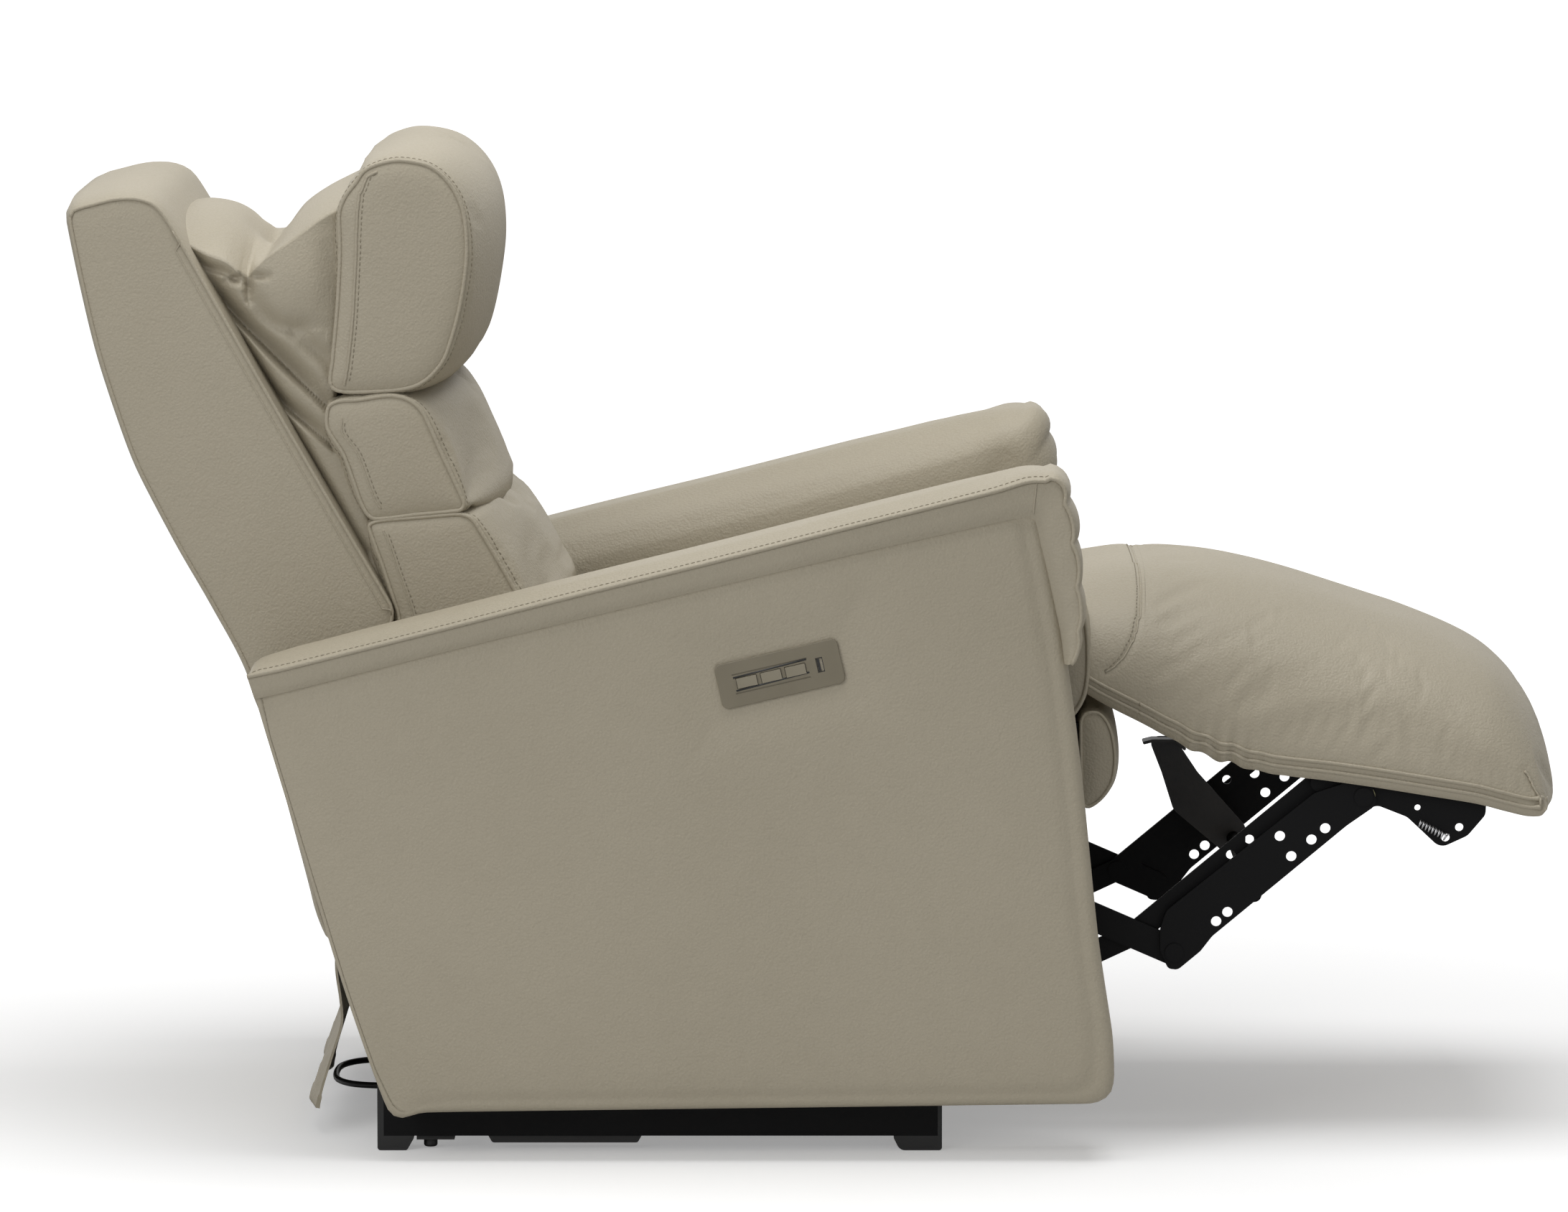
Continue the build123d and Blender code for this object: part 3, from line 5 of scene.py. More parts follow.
import bmesh
import bpy
import numpy as np
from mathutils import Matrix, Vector, kdtree


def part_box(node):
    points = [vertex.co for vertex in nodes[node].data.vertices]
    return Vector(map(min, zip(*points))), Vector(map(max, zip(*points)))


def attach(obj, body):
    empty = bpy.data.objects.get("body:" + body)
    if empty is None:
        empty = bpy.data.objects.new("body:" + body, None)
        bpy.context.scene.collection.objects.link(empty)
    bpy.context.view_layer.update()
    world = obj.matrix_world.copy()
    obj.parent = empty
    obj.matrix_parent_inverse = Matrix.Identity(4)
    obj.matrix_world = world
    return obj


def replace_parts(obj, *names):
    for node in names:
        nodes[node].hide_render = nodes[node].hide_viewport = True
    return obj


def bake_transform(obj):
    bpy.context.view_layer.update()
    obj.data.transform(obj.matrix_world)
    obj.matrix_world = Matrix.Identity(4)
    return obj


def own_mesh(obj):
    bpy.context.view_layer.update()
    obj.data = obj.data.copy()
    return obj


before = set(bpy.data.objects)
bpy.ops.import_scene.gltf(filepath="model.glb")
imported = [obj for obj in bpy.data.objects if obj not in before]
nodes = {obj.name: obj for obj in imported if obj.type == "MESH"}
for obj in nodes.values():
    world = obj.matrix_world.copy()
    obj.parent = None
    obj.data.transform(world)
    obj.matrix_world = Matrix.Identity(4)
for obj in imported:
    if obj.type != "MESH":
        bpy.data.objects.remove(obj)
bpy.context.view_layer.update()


# Base frame: two box-section rails with cross tubes, slide tracks on posts and the slotted
# cam plates. Welded mild steel, powder coated satin black.
class Shade:
    """A socket of a material; arithmetic on it adds Math nodes to the same tree."""

    def __init__(self, tree, socket=None):
        self.tree = tree
        self.socket = socket

    def add(self, kind, settings=None, inputs=None, output=0):
        """Adds a node: its settings first, then the values or links of its sockets."""
        node = self.tree.nodes.new(kind)
        for name, value in (settings or {}).items():
            setattr(node, name, value)
        for name, value in (inputs or {}).items():
            feed(node.inputs[name], value)
        return Shade(self.tree, node.outputs[output])

    def math(self, operation, first, second):
        return self.add("ShaderNodeMath", {"operation": operation}, {0: first, 1: second})

    def __add__(self, other):
        return self.math("ADD", self, other)

    def __mul__(self, other):
        return self.math("MULTIPLY", self, other)

    def __rsub__(self, other):
        return self.math("SUBTRACT", other, self)

    __radd__ = __add__
    __rmul__ = __mul__


def feed(socket, value):
    """Links a shade to a node's socket, or sets a plain value there."""
    if isinstance(value, Shade):
        value.tree.links.new(value.socket, socket)
    else:
        socket.default_value = value


def new_finish(name):
    """An empty material, its surface shader and the object coordinates that place its texture."""
    material = bpy.data.materials.new(name)
    material.use_nodes = True
    tree = material.node_tree
    place = Shade(tree).add("ShaderNodeTexCoord", output="Object")
    return material, tree.nodes["Principled BSDF"], place


def noise(place, scale, detail=2.0):
    return place.add("ShaderNodeTexNoise", None, {"Vector": place, "Scale": scale, "Detail": detail})


def between(factor, first, second):
    """A colour between two, by a factor that changes over the surface."""
    return factor.add(
        "ShaderNodeMix", {"data_type": "RGBA"}, {0: factor, 6: (*first, 1.0), 7: (*second, 1.0)}, 2
    )


def raised(height, strength, distance):
    return height.add(
        "ShaderNodeBump", None, {"Height": height, "Strength": strength, "Distance": distance}
    )


def paint(surface, **shades):
    """Feeds a surface shader's sockets; Base_Color stands for Base Color."""
    for name, shade in shades.items():
        feed(surface.inputs[name.replace("_", " ")], shade)


def coated_steel(name, dark, light, gloss):
    material, surface, place = new_finish(name)
    cloudy = noise(place, 14.0, 3.0)
    peel = noise(place, 850.0)
    paint(
        surface,
        Base_Color=between(cloudy, dark, light),
        Roughness=gloss + 0.18 * cloudy,
        Normal=raised(peel, 0.16, 0.0004),
        Specular_IOR_Level=0.14,
    )
    return material


def dress(material, *names):
    for name in names:
        nodes[name].data.materials.clear()
        nodes[name].data.materials.append(material)


black_steel = coated_steel("black_steel", (0.001, 0.001, 0.0012), (0.003, 0.003, 0.0034), gloss=0.42)
dress(black_steel, "base_rails", "base_tubes", "cam_plates", "slide_tracks", "track_posts")


# Feet and skids: moulded feet at the ends of the rails and flat skids between them, with a
# round stud at the back. Black nylon with a fine moulded grain.
def moulded(name, dark, light, rough):
    material, surface, place = new_finish(name)
    grain = noise(place, 1500.0, 1.0)
    cloudy = noise(place, 30.0)
    paint(
        surface,
        Base_Color=between(cloudy, dark, light),
        Roughness=rough + 0.12 * cloudy,
        Normal=raised(grain, 0.2, 0.0003),
    )
    return material


black_plastic = moulded("black_plastic", (0.003, 0.003, 0.003), (0.008, 0.008, 0.008), rough=0.46)
dress(black_plastic, "rear_feet", "front_feet", "rail_skids")


# Drives: seat, back and headrest motors with their tubes, the control box and the slide
# shoes in black plastic; the push rods are drawn bright steel.
def streaked(name, stretch, detail, tones, rough, vary, bump, metal=0.0):
    """A finish whose grain is drawn out one way, between two tones."""
    material, surface, place = new_finish(name)
    stretched = place.add("ShaderNodeMapping", None, {"Vector": place, "Scale": stretch})
    grain = noise(stretched, 1.0, detail)
    paint(
        surface,
        Base_Color=between(grain, *tones),
        Roughness=rough + vary * grain,
        Normal=raised(grain, *bump),
        Metallic=metal,
    )
    return material


def drawn_steel():
    tones = (0.42, 0.42, 0.43), (0.62, 0.62, 0.63)
    stretch = (6.0, 900.0, 900.0)
    bump = (0.1, 0.0002)
    return streaked("drawn_steel", stretch, 3.0, tones, rough=0.26, vary=0.16, bump=bump, metal=1.0)


bright_steel = drawn_steel()
dress(black_plastic, "seat_motor", "back_motor", "headrest_motor", "control_box", "slide_shoes")
dress(bright_steel, "drive_rod", "back_rod", "headrest_rod")


# Power cable: a round black lead in a loop behind the chair, both ends in the control box.
# Soft PVC over copper, pushed into two moulded glands.
CABLE_Z = 0.024
CABLE_HALF = 0.082
CABLE_DIAMETER = 0.0062
CABLE_ROUTE = [
    (-0.412, CABLE_HALF), (-0.448, CABLE_HALF), (-0.474, 0.052), (-0.478, 0.0), (-0.474, -0.052),
    (-0.448, -CABLE_HALF), (-0.412, -CABLE_HALF),
]


def lead_finish():
    material, surface, place = new_finish("cable_black")
    grain = noise(place, 1200.0)
    paint(
        surface,
        Base_Color=between(grain, (0.008, 0.008, 0.008), (0.018, 0.018, 0.018)),
        Roughness=0.36 + 0.14 * grain,
    )
    return material


def put(name, data):
    """An object of its own in the scene."""
    thing = bpy.data.objects.new(name, data)
    bpy.context.scene.collection.objects.link(thing)
    return thing


cable_line = bpy.data.curves.new("power_lead", "CURVE")
cable_line.dimensions = "3D"
cable_line.bevel_depth = CABLE_DIAMETER / 2
cable_line.bevel_resolution = 5
cable_line.use_fill_caps = True
cable_line.resolution_u = 16
lead = cable_line.splines.new("NURBS")
lead.points.add(len(CABLE_ROUTE) - 1)
for point, (x, y) in zip(lead.points, CABLE_ROUTE):
    point.co = (x, y, CABLE_Z, 1.0)
lead.order_u = 3
lead.use_endpoint_u = True
cable_line.materials.append(lead_finish())
power_lead = put("power_lead", cable_line)
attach(power_lead, "base")
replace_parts(power_lead, "power_cable")


# Footrest linkage: pressed steel links, brackets and springs on riveted pivots, black like the
# base, with a pale nylon washer at the outer pivot. The upright bracket is given a greyer colour
# as painted sheen, standing in for the light that its shiny black coat reflects.
# Painted sheen: a greyer black for the upright bracket, in place of the reflection on its coat.
sheen_painted_steel = coated_steel("sheen_painted_steel", (0.02, 0.02, 0.022), (0.09, 0.09, 0.09), gloss=0.3)
pale_nylon = moulded("pale_nylon", (0.62, 0.58, 0.28), (0.7, 0.66, 0.36), rough=0.4)
for part in ("rear_link", "upper_link", "front_link", "footrest_bracket"):
    dress(black_steel, part + "_right", part + "_left")
dress(black_steel, "carriage_plates", "carriage_tubes", "link_cross_tube")
dress(sheen_painted_steel, "upright_bracket")
dress(drawn_steel(), "footrest_springs")
dress(pale_nylon, "pivot_washers")


# Arm panels: a flat upholstered side on each arm, sewn round a hardwood box. Pebbled leather
# pulled tight, turned in at every edge, with a stitched join near the back edge.
PANEL_INNER = 0.287
PANEL_OUTER = 0.385
PANEL_ROUND = 0.010
PANEL_BACK_ROUND = 0.006
PANEL_SWELL = 0.003
PANEL_SWELL_REACH = 0.05
PANEL_POINTS = 300
PANEL_FACE_SHARE = 0.94
PANEL_DOME_SHARE = 0.965
PANEL_BACK_SHARE = 0.975
PANEL_BORDER = (0.95, 0.96, 0.964)
PANEL_SEAM_IN = 0.032
PANEL_SEAM_OUT = 0.028
PANEL_EDGE_IN = 0.026
PANEL_BACK_IN = 0.02
PANEL_REAR_X = -0.36
REAR_NARROWED = 0.68
REAR_SHARPENED = 0.6
REAR_EASE = 6
REAR_SEAM_SINK = 0.0016
PLATE_TILT = math.radians(13.0)
PLATE_HALF = (0.060, 0.022)
PLATE_EASE = 0.03
PANEL_OUTLINE = [
    (-0.536, 0.452), (-0.536, 0.452), (-0.454, 0.176), (-0.424, 0.086), (-0.412, 0.054),
    (-0.406, 0.045), (-0.396, 0.042), (-0.375, 0.047), (0.248, 0.055), (0.262, 0.058),
    (0.271, 0.066), (0.274, 0.082), (0.272, 0.123), (0.258, 0.218), (0.241, 0.381), (0.226, 0.490),
    (0.200, 0.626), (0.200, 0.626), (-0.099, 0.559), (-0.300, 0.510),
]


def leather_finish():
    """Taupe leather: small pebbles of uneven height, fine pores and slow changes of tone."""
    material, surface, place = new_finish("leather")
    warped = place.add(
        "ShaderNodeVectorMath",
        {"operation": "MULTIPLY_ADD"},
        {
            0: place.add("ShaderNodeTexNoise", None, {"Vector": place, "Scale": 90.0}, "Color"),
            1: (0.0022, 0.0022, 0.0022),
            2: place,
        },
    )
    pebble = place.add(
        "ShaderNodeTexVoronoi",
        {"feature": "SMOOTH_F1"},
        {"Vector": warped, "Scale": 430.0, "Smoothness": 0.6, "Randomness": 1.0},
        "Distance",
    )
    pores = noise(place, 1100.0, 2.0)
    crease = noise(place, 130.0, 4.0)
    tone = noise(place, 3.2, 3.0)
    mottle = noise(place, 38.0, 3.0)
    shade = 0.62 * tone + 0.2 * mottle + 0.18 * (1.0 - pebble)
    height = 0.55 * (1.0 - pebble) + 0.25 * pores + 0.6 * crease
    paint(
        surface,
        Base_Color=between(shade, (0.325, 0.288, 0.213), (0.43, 0.385, 0.297)),
        Roughness=0.44 + 0.14 * pebble + 0.08 * mottle,
        Normal=raised(height, 0.6, 0.0011),
        Specular_IOR_Level=0.42,
    )
    return material


leather = leather_finish()
thread = moulded("thread", (0.20, 0.175, 0.125), (0.27, 0.24, 0.175), rough=0.55)


def run_of(line):
    """The length run along a line at each of its points."""
    return np.concatenate([[0], np.cumsum(np.linalg.norm(np.diff(line, axis=0), axis=1))])


def read_off(where, run, values):
    """Values given at the points of a line, read off at other lengths along it."""
    return np.stack([np.interp(where, run, column) for column in values.T], axis=1)


def unit(vectors):
    return vectors / np.maximum(np.linalg.norm(vectors, axis=1), 1e-12)[:, None]


def flow(points, count, closed=False):
    """Evenly spaced points on a smooth line; a point given twice is a sharp corner."""
    p = np.array(points, float)
    if closed:
        before, after = np.roll(p, 1, 0), np.roll(p, -1, 0)
    else:
        before, after = np.vstack([p[:1], p[:-1]]), np.vstack([p[1:], p[-1:]])
    chord = after - before
    reach = np.minimum(np.linalg.norm(p - before, axis=1), np.linalg.norm(after - p, axis=1))
    if not closed:
        reach[0] = np.linalg.norm(p[1] - p[0])
        reach[-1] = np.linalg.norm(p[-1] - p[-2])
    length = np.maximum(np.linalg.norm(chord, axis=1), 1e-9)
    slope = chord / length[:, None] * reach[:, None]
    t = np.linspace(0, 1, 25)[:-1, None]
    pieces = []
    for i in range(len(p) if closed else len(p) - 1):
        k = (i + 1) % len(p)
        if np.linalg.norm(p[k] - p[i]) > 1e-7:
            pieces.append(
                (2 * t**3 - 3 * t**2 + 1) * p[i]
                + (t**3 - 2 * t**2 + t) * slope[i]
                + (3 * t**2 - 2 * t**3) * p[k]
                + (t**3 - t**2) * slope[k]
            )
    line = np.vstack(pieces + [p[:1] if closed else p[-1:]])
    run = run_of(line)
    where = np.linspace(0, run[-1], count + 1)[:-1] if closed else np.linspace(0, run[-1], count)
    return read_off(where, run, line)


def outward(loop):
    """Unit normals of a closed flat loop, pointing out of it."""
    along = np.roll(loop, -1, 0) - np.roll(loop, 1, 0)
    normal = unit(np.stack([along[:, 1], -along[:, 0]], axis=1))
    area = np.sum(loop[:, 0] * np.roll(loop[:, 1], -1) - np.roll(loop[:, 0], -1) * loop[:, 1])
    return normal if area > 0 else -normal


def ring(loop, y):
    """A loop drawn in X and Z, set at a width Y."""
    return np.stack([loop[:, 0], np.broadcast_to(y, len(loop)), loop[:, 1]], axis=1)


def skin(name, rows, finish, closed=True):
    """A quad mesh over rows of points; rows of closed loops are capped at both ends."""
    rows = np.array(rows)
    count, wide = rows.shape[:2]
    faces = []
    for i in range(count - 1):
        for j in range(wide if closed else wide - 1):
            k = (j + 1) % wide
            faces.append((i * wide + j, i * wide + k, (i + 1) * wide + k, (i + 1) * wide + j))
    if closed:
        faces.append(tuple(range(wide))[::-1])
        faces.append(tuple(range((count - 1) * wide, count * wide)))
    mesh = bpy.data.meshes.new(name)
    mesh.from_pydata(rows.reshape(-1, 3).tolist(), [], faces)
    build = bmesh.new()
    build.from_mesh(mesh)
    bmesh.ops.recalc_face_normals(build, faces=build.faces)
    for face in build.faces:
        if len(face.verts) > 4:
            for edge in face.edges:
                edge.smooth = False
    build.to_mesh(mesh)
    build.free()
    mesh.shade_smooth()
    mesh.materials.append(finish)
    return put(name, mesh)


def shrunk(loop, share):
    """A loop drawn in towards its middle."""
    centre = (loop.min(0) + loop.max(0)) / 2
    return centre + (loop - centre) * share


def panel_rows(loop, y, count):
    """Flat rings from near the middle of a panel out to its edge."""
    return [ring(shrunk(loop, share), y) for share in np.linspace(0.03, 1.0, count)]


def inside(points, loop):
    """A smooth measure of how far inside a loop flat points lie, about the distance to it."""
    gap = np.linalg.norm(points[:, None, :] - loop[None, :, :], axis=2)
    return np.mean(np.maximum(gap, 1e-5) ** -4.0, axis=1) ** -0.25


def dome(rows, loop, height, reach):
    """Raises flat rows along Y into an even cushion that comes down to the loop."""
    for row in rows:
        depth = inside(row[:, [0, 2]], loop)
        row[:, 1] += height * np.tanh(depth / reach)
    return rows


def coords(piece, what="co"):
    """Where a piece's points are, or their normals."""
    flat = np.empty(len(piece.data.vertices) * 3)
    piece.data.vertices.foreach_get(what, flat)
    return flat.reshape(-1, 3)


def reshape(piece, points):
    piece.data.vertices.foreach_set("co", np.ascontiguousarray(points, dtype=np.float32).ravel())
    piece.data.update()


def tube_rows(path, radius, sides):
    """Round sections along a path, whose radius is one number or one for each point."""
    path = np.array(path)
    along = unit(np.gradient(path, axis=0))
    side = unit(np.cross(along, (0.31, 0.92, 0.24)))
    top = np.cross(side, along)
    angle = np.linspace(0, 2 * np.pi, sides, endpoint=False)
    spread = np.cos(angle)[None, :, None] * side[:, None] + np.sin(angle)[None, :, None] * top[:, None]
    return path[:, None] + spread * np.broadcast_to(radius, len(path))[:, None, None]


def sew(piece, sections, finish):
    """Adds tubes, each an array of round sections, to a piece's own mesh."""
    material_index = piece.data.materials.find(finish.name)
    if material_index < 0:
        piece.data.materials.append(finish)
        material_index = len(piece.data.materials) - 1
    build = bmesh.new()
    build.from_mesh(piece.data)
    for rows in sections:
        made = [[build.verts.new(p) for p in row] for row in rows]
        sides = len(made[0])
        faces = [build.faces.new(made[0][::-1]), build.faces.new(made[-1])]
        for low, high in zip(made, made[1:]):
            for j in range(sides):
                k = (j + 1) % sides
                faces.append(build.faces.new((low[j], low[k], high[k], high[j])))
        for face in faces:
            face.material_index = material_index
            face.smooth = True
    build.to_mesh(piece.data)
    build.free()


def stitch_row(piece, path, lift, pitch=0.0055, thick=0.0005):
    """Short stitches end to end along a path on the surface, raised by lift."""
    path = np.array(path)
    run = run_of(path)
    stitches = []
    for start in np.arange(pitch, run[-1] - pitch, pitch):
        where = start + np.array([0.0, 0.12, 0.5, 0.88, 1.0]) * pitch * 0.72
        line = read_off(where, run, path)
        line += read_off(where, run, lift) * np.array([-0.6, 0.1, 0.5, 0.1, -0.6])[:, None] * thick
        stitches.append(tube_rows(line, np.array([0.4, 0.9, 1.0, 0.9, 0.4]) * thick, 6))
    sew(piece, stitches, thread)


def arm_panel(side, name):
    """One arm's side: a slightly domed face, a rounded edge that is crisp at the back, a flat back."""
    loop = flow(PANEL_OUTLINE, PANEL_POINTS, closed=True)
    out = outward(loop)
    face, back = side * PANEL_OUTER, side * PANEL_INNER
    rows = panel_rows(shrunk(loop, PANEL_FACE_SHARE), face, 40)
    rows = dome(rows, shrunk(loop, PANEL_DOME_SHARE), side * PANEL_SWELL, PANEL_SWELL_REACH)
    rear = (loop[:, 0] < PANEL_REAR_X) & (out[:, 0] < -0.5)
    window = 2 * REAR_EASE + 1
    padded_rear = np.pad(rear.astype(float), REAR_EASE, mode="wrap")
    tight = np.convolve(padded_rear, np.ones(window) / window, "valid")[:, None]
    margin = 1.0 - REAR_NARROWED * tight
    depth = PANEL_ROUND * (1 - REAR_SHARPENED * tight[:, 0])
    for share in PANEL_BORDER:
        rows.append(ring(shrunk(loop, 1 - (1 - share) * margin), face))
    seam_row = len(rows)
    seam_level = face - np.where(rear, side * REAR_SEAM_SINK, 0.0)
    rows.append(ring(shrunk(loop, 1 - PANEL_SEAM_IN * margin), seam_level))
    rows.append(ring(shrunk(loop, 1 - PANEL_SEAM_OUT * margin), face))
    for angle in np.radians([15, 35, 55, 75, 90]):
        edge = 1.0 - PANEL_EDGE_IN * (1 - math.sin(angle)) * margin
        rows.append(ring(shrunk(loop, edge), face - side * depth * (1 - math.cos(angle))))
    for share in np.linspace(0.15, 0.9, 7):
        rows.append(ring(loop, face + (back - face) * share))
    for angle in np.radians([20, 50, 80]):
        edge = 1.0 - PANEL_BACK_IN * (1 - math.cos(angle))
        rows.append(ring(shrunk(loop, edge), back + side * PANEL_BACK_ROUND * (1 - math.sin(angle))))
    rows += panel_rows(shrunk(loop, PANEL_BACK_SHARE), back, 8)[::-1]
    panel = skin(name, rows, leather)
    points = coords(panel)
    if side < 0:
        plate_low, plate_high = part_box("control_plate")
        plate = np.array([(plate_low.x + plate_high.x) / 2, (plate_low.z + plate_high.z) / 2])
        from_plate = points[:, [0, 2]] - plate
        across = from_plate @ np.array([math.cos(PLATE_TILT), math.sin(PLATE_TILT)])
        up = from_plate @ np.array([-math.sin(PLATE_TILT), math.cos(PLATE_TILT)])
        past_end, past_top = np.abs(across) - PLATE_HALF[0], np.abs(up) - PLATE_HALF[1]
        away = np.maximum(np.maximum(past_end, past_top), 0)
        flat = np.exp(-((away / PLATE_EASE) ** 2)) * (points[:, 1] < face)
        points[:, 1] += flat * (face - points[:, 1])
        reshape(panel, points)
    wide = len(loop)
    seam = coords(panel)[seam_row * wide : (seam_row + 1) * wide][rear]
    seam = seam[np.argsort(seam[:, 2])]
    stitch_row(panel, seam, np.tile((0.0, side, 0.0), (len(seam), 1)))
    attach(panel, "base")
    return panel


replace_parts(arm_panel(-1, "right_arm_panel"), "arm_panel_right")
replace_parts(arm_panel(1, "left_arm_panel"), "arm_panel_left")


# Control plate: a bevelled plate set flush into the near arm with three rocker keys between
# two dark slots, and a charging port. Taupe moulded plastic, satin, over a black switch box.
# The slots are thin black strips just proud of the plate: painted shade for the recesses.
taupe_plastic = moulded("taupe_plastic", (0.175, 0.152, 0.105), (0.205, 0.180, 0.127), rough=0.36)
key_plastic = moulded("key_plastic", (0.235, 0.207, 0.15), (0.275, 0.245, 0.18), rough=0.32)
# The port's own black also colours the two slot strips, where it is painted shade.
port_black_and_slot_shade = moulded("port_black_and_slot_shade", (0.012, 0.012, 0.012), (0.03, 0.03, 0.03), rough=0.3)
dress(taupe_plastic, "control_plate")
dress(key_plastic, "rocker_1", "rocker_2", "rocker_3")
dress(black_plastic, "switch_box")
dress(port_black_and_slot_shade, "charging_port")
KEY_FIRST = np.array([-0.072, 0.457])
KEY_LAST = np.array([-0.026, 0.469])
KEY_SLOT_OFF = 0.0063
KEY_SLOT_END = 0.0115
KEY_SLOT_HALF = 0.0008
KEY_SLOT_SUNK = 0.0008
KEY_SLOT_PROUD = 0.0002
plate_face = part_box("control_plate")[0].y
key_along = (KEY_LAST - KEY_FIRST) / np.linalg.norm(KEY_LAST - KEY_FIRST)
key_up = np.array([-key_along[1], key_along[0]])
# Painted shade: each slot is a thin black strip just proud of the plate, in place of the shade inside its
# recess.
for slot_name, slot_side in (("upper_key_slot_shade", 1), ("lower_key_slot_shade", -1)):
    low = KEY_FIRST - key_along * KEY_SLOT_END + key_up * slot_side * KEY_SLOT_OFF
    high = KEY_LAST + key_along * KEY_SLOT_END + key_up * slot_side * KEY_SLOT_OFF
    edge = key_up * KEY_SLOT_HALF
    corners = np.array([low - edge, high - edge, high + edge, low + edge])
    slot_rows = [ring(corners, plate_face + KEY_SLOT_SUNK), ring(corners, plate_face - KEY_SLOT_PROUD)]
    slot_shade_strip = skin(slot_name, slot_rows, port_black_and_slot_shade)
    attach(slot_shade_strip, "base")


# Arm pads: a soft top on each arm whose cover runs over the front and is gathered into puffs
# down the front edge. Leather over foam, with a lipped welt and a topstitch along the outer edge
# and a smooth roll down the inner side.
PAD_OUTER = 0.395
PAD_INNER = 0.262
PAD_WELT = [
    (-0.539, 0.462), (-0.502, 0.470), (-0.367, 0.504), (-0.233, 0.538), (-0.099, 0.571),
    (0.035, 0.605), (0.160, 0.636), (0.190, 0.645), (0.209, 0.645), (0.219, 0.637), (0.224, 0.622),
    (0.229, 0.600), (0.235, 0.550), (0.237, 0.511), (0.231, 0.474),
]
PAD_FOOT = [
    (-0.533, 0.442), (-0.502, 0.449), (-0.367, 0.484), (-0.233, 0.517), (-0.099, 0.549),
    (0.035, 0.581), (0.160, 0.609), (0.190, 0.615), (0.201, 0.613), (0.204, 0.605), (0.207, 0.590),
    (0.212, 0.570), (0.221, 0.528), (0.226, 0.500), (0.228, 0.473),
]
PAD_DEEP = [
    (-0.530, 0.400), (-0.498, 0.392), (-0.360, 0.414), (-0.225, 0.446), (-0.095, 0.476),
    (0.020, 0.500), (0.105, 0.515), (0.125, 0.517), (0.135, 0.516), (0.140, 0.513), (0.145, 0.508),
    (0.152, 0.500), (0.165, 0.490), (0.178, 0.480), (0.190, 0.470),
]
PAD_CROWN = 0.007
PAD_FULL = 9.0
PAD_ROLL_AT = 0.60
PAD_ROLL_DROP = 0.045
PAD_ROLL_MOST = 0.6
PAD_LEAN = 0.004
PAD_FRONT = (0.205, 0.645)
PAD_JOIN_X = 0.197
PAD_END = 0.012
PAD_SECTION = [
    (share, PAD_CROWN * (1 - (1 - share / PAD_ROLL_AT) ** PAD_FULL), 0.0)
    for share in (0.0, 0.02, 0.05, 0.09, 0.14, *np.linspace(0.2, PAD_ROLL_AT, 8))
]
PAD_SECTION += [
    (PAD_ROLL_AT + (1 - PAD_ROLL_AT) * math.sin(turn), PAD_CROWN, PAD_ROLL_DROP * (1 - math.cos(turn)))
    for turn in np.radians(np.linspace(8, 90, 12))
]
PAD_SIDE = (0.2, 0.4, 0.6, 0.8, 1.0)
FACING_PUFFS = [0.0, 0.16, 0.37, 0.60, 0.83, 1.0]
FACING_RISE = 0.0065
FACING_EDGE_RISE = 0.004
FACING_FADE = 0.018


def matched(first, second, count):
    """Two lines through matching points, sampled so that their points stay side by side."""
    both = flow(np.hstack([np.array(first), np.array(second)]), count)
    return both[:, :2], both[:, 2:]


def square_to(line):
    """Unit vectors square to a flat line, on its left."""
    along = unit(np.gradient(line, axis=0))
    return np.stack([-along[:, 1], along[:, 0]], axis=1)


def swell(piece, held, pressure, cap, slack=0.0, frames=14):
    """Fills the cover from inside: held points stay and the rest puffs out, at most by cap."""
    start = coords(piece)
    group = piece.vertex_groups.new(name="held")
    group.add([int(i) for i in held], 1.0, "REPLACE")
    cloth = piece.modifiers.new("cover", "CLOTH")
    sheet = cloth.settings
    sheet.quality = 4
    sheet.mass = 0.4
    sheet.tension_stiffness = 18.0
    sheet.compression_stiffness = 18.0
    sheet.shear_stiffness = 8.0
    sheet.bending_stiffness = 1.2
    sheet.use_pressure = True
    sheet.uniform_pressure_force = pressure
    sheet.shrink_min = -slack
    sheet.vertex_group_mass = group.name
    sheet.effector_weights.gravity = 0.0
    cloth.collision_settings.use_collision = False
    cloth.point_cache.frame_start = 1
    cloth.point_cache.frame_end = frames
    stage_clock = bpy.context.scene
    for tick in range(1, frames + 1):
        stage_clock.frame_set(tick)
    filled = piece.evaluated_get(bpy.context.evaluated_depsgraph_get())
    move = coords(filled) - start
    length = np.maximum(np.linalg.norm(move, axis=1), 1e-9)
    piece.modifiers.remove(cloth)
    piece.vertex_groups.remove(group)
    stage_clock.frame_set(1)
    reshape(piece, start + move * (np.minimum(length, cap) / length)[:, None])


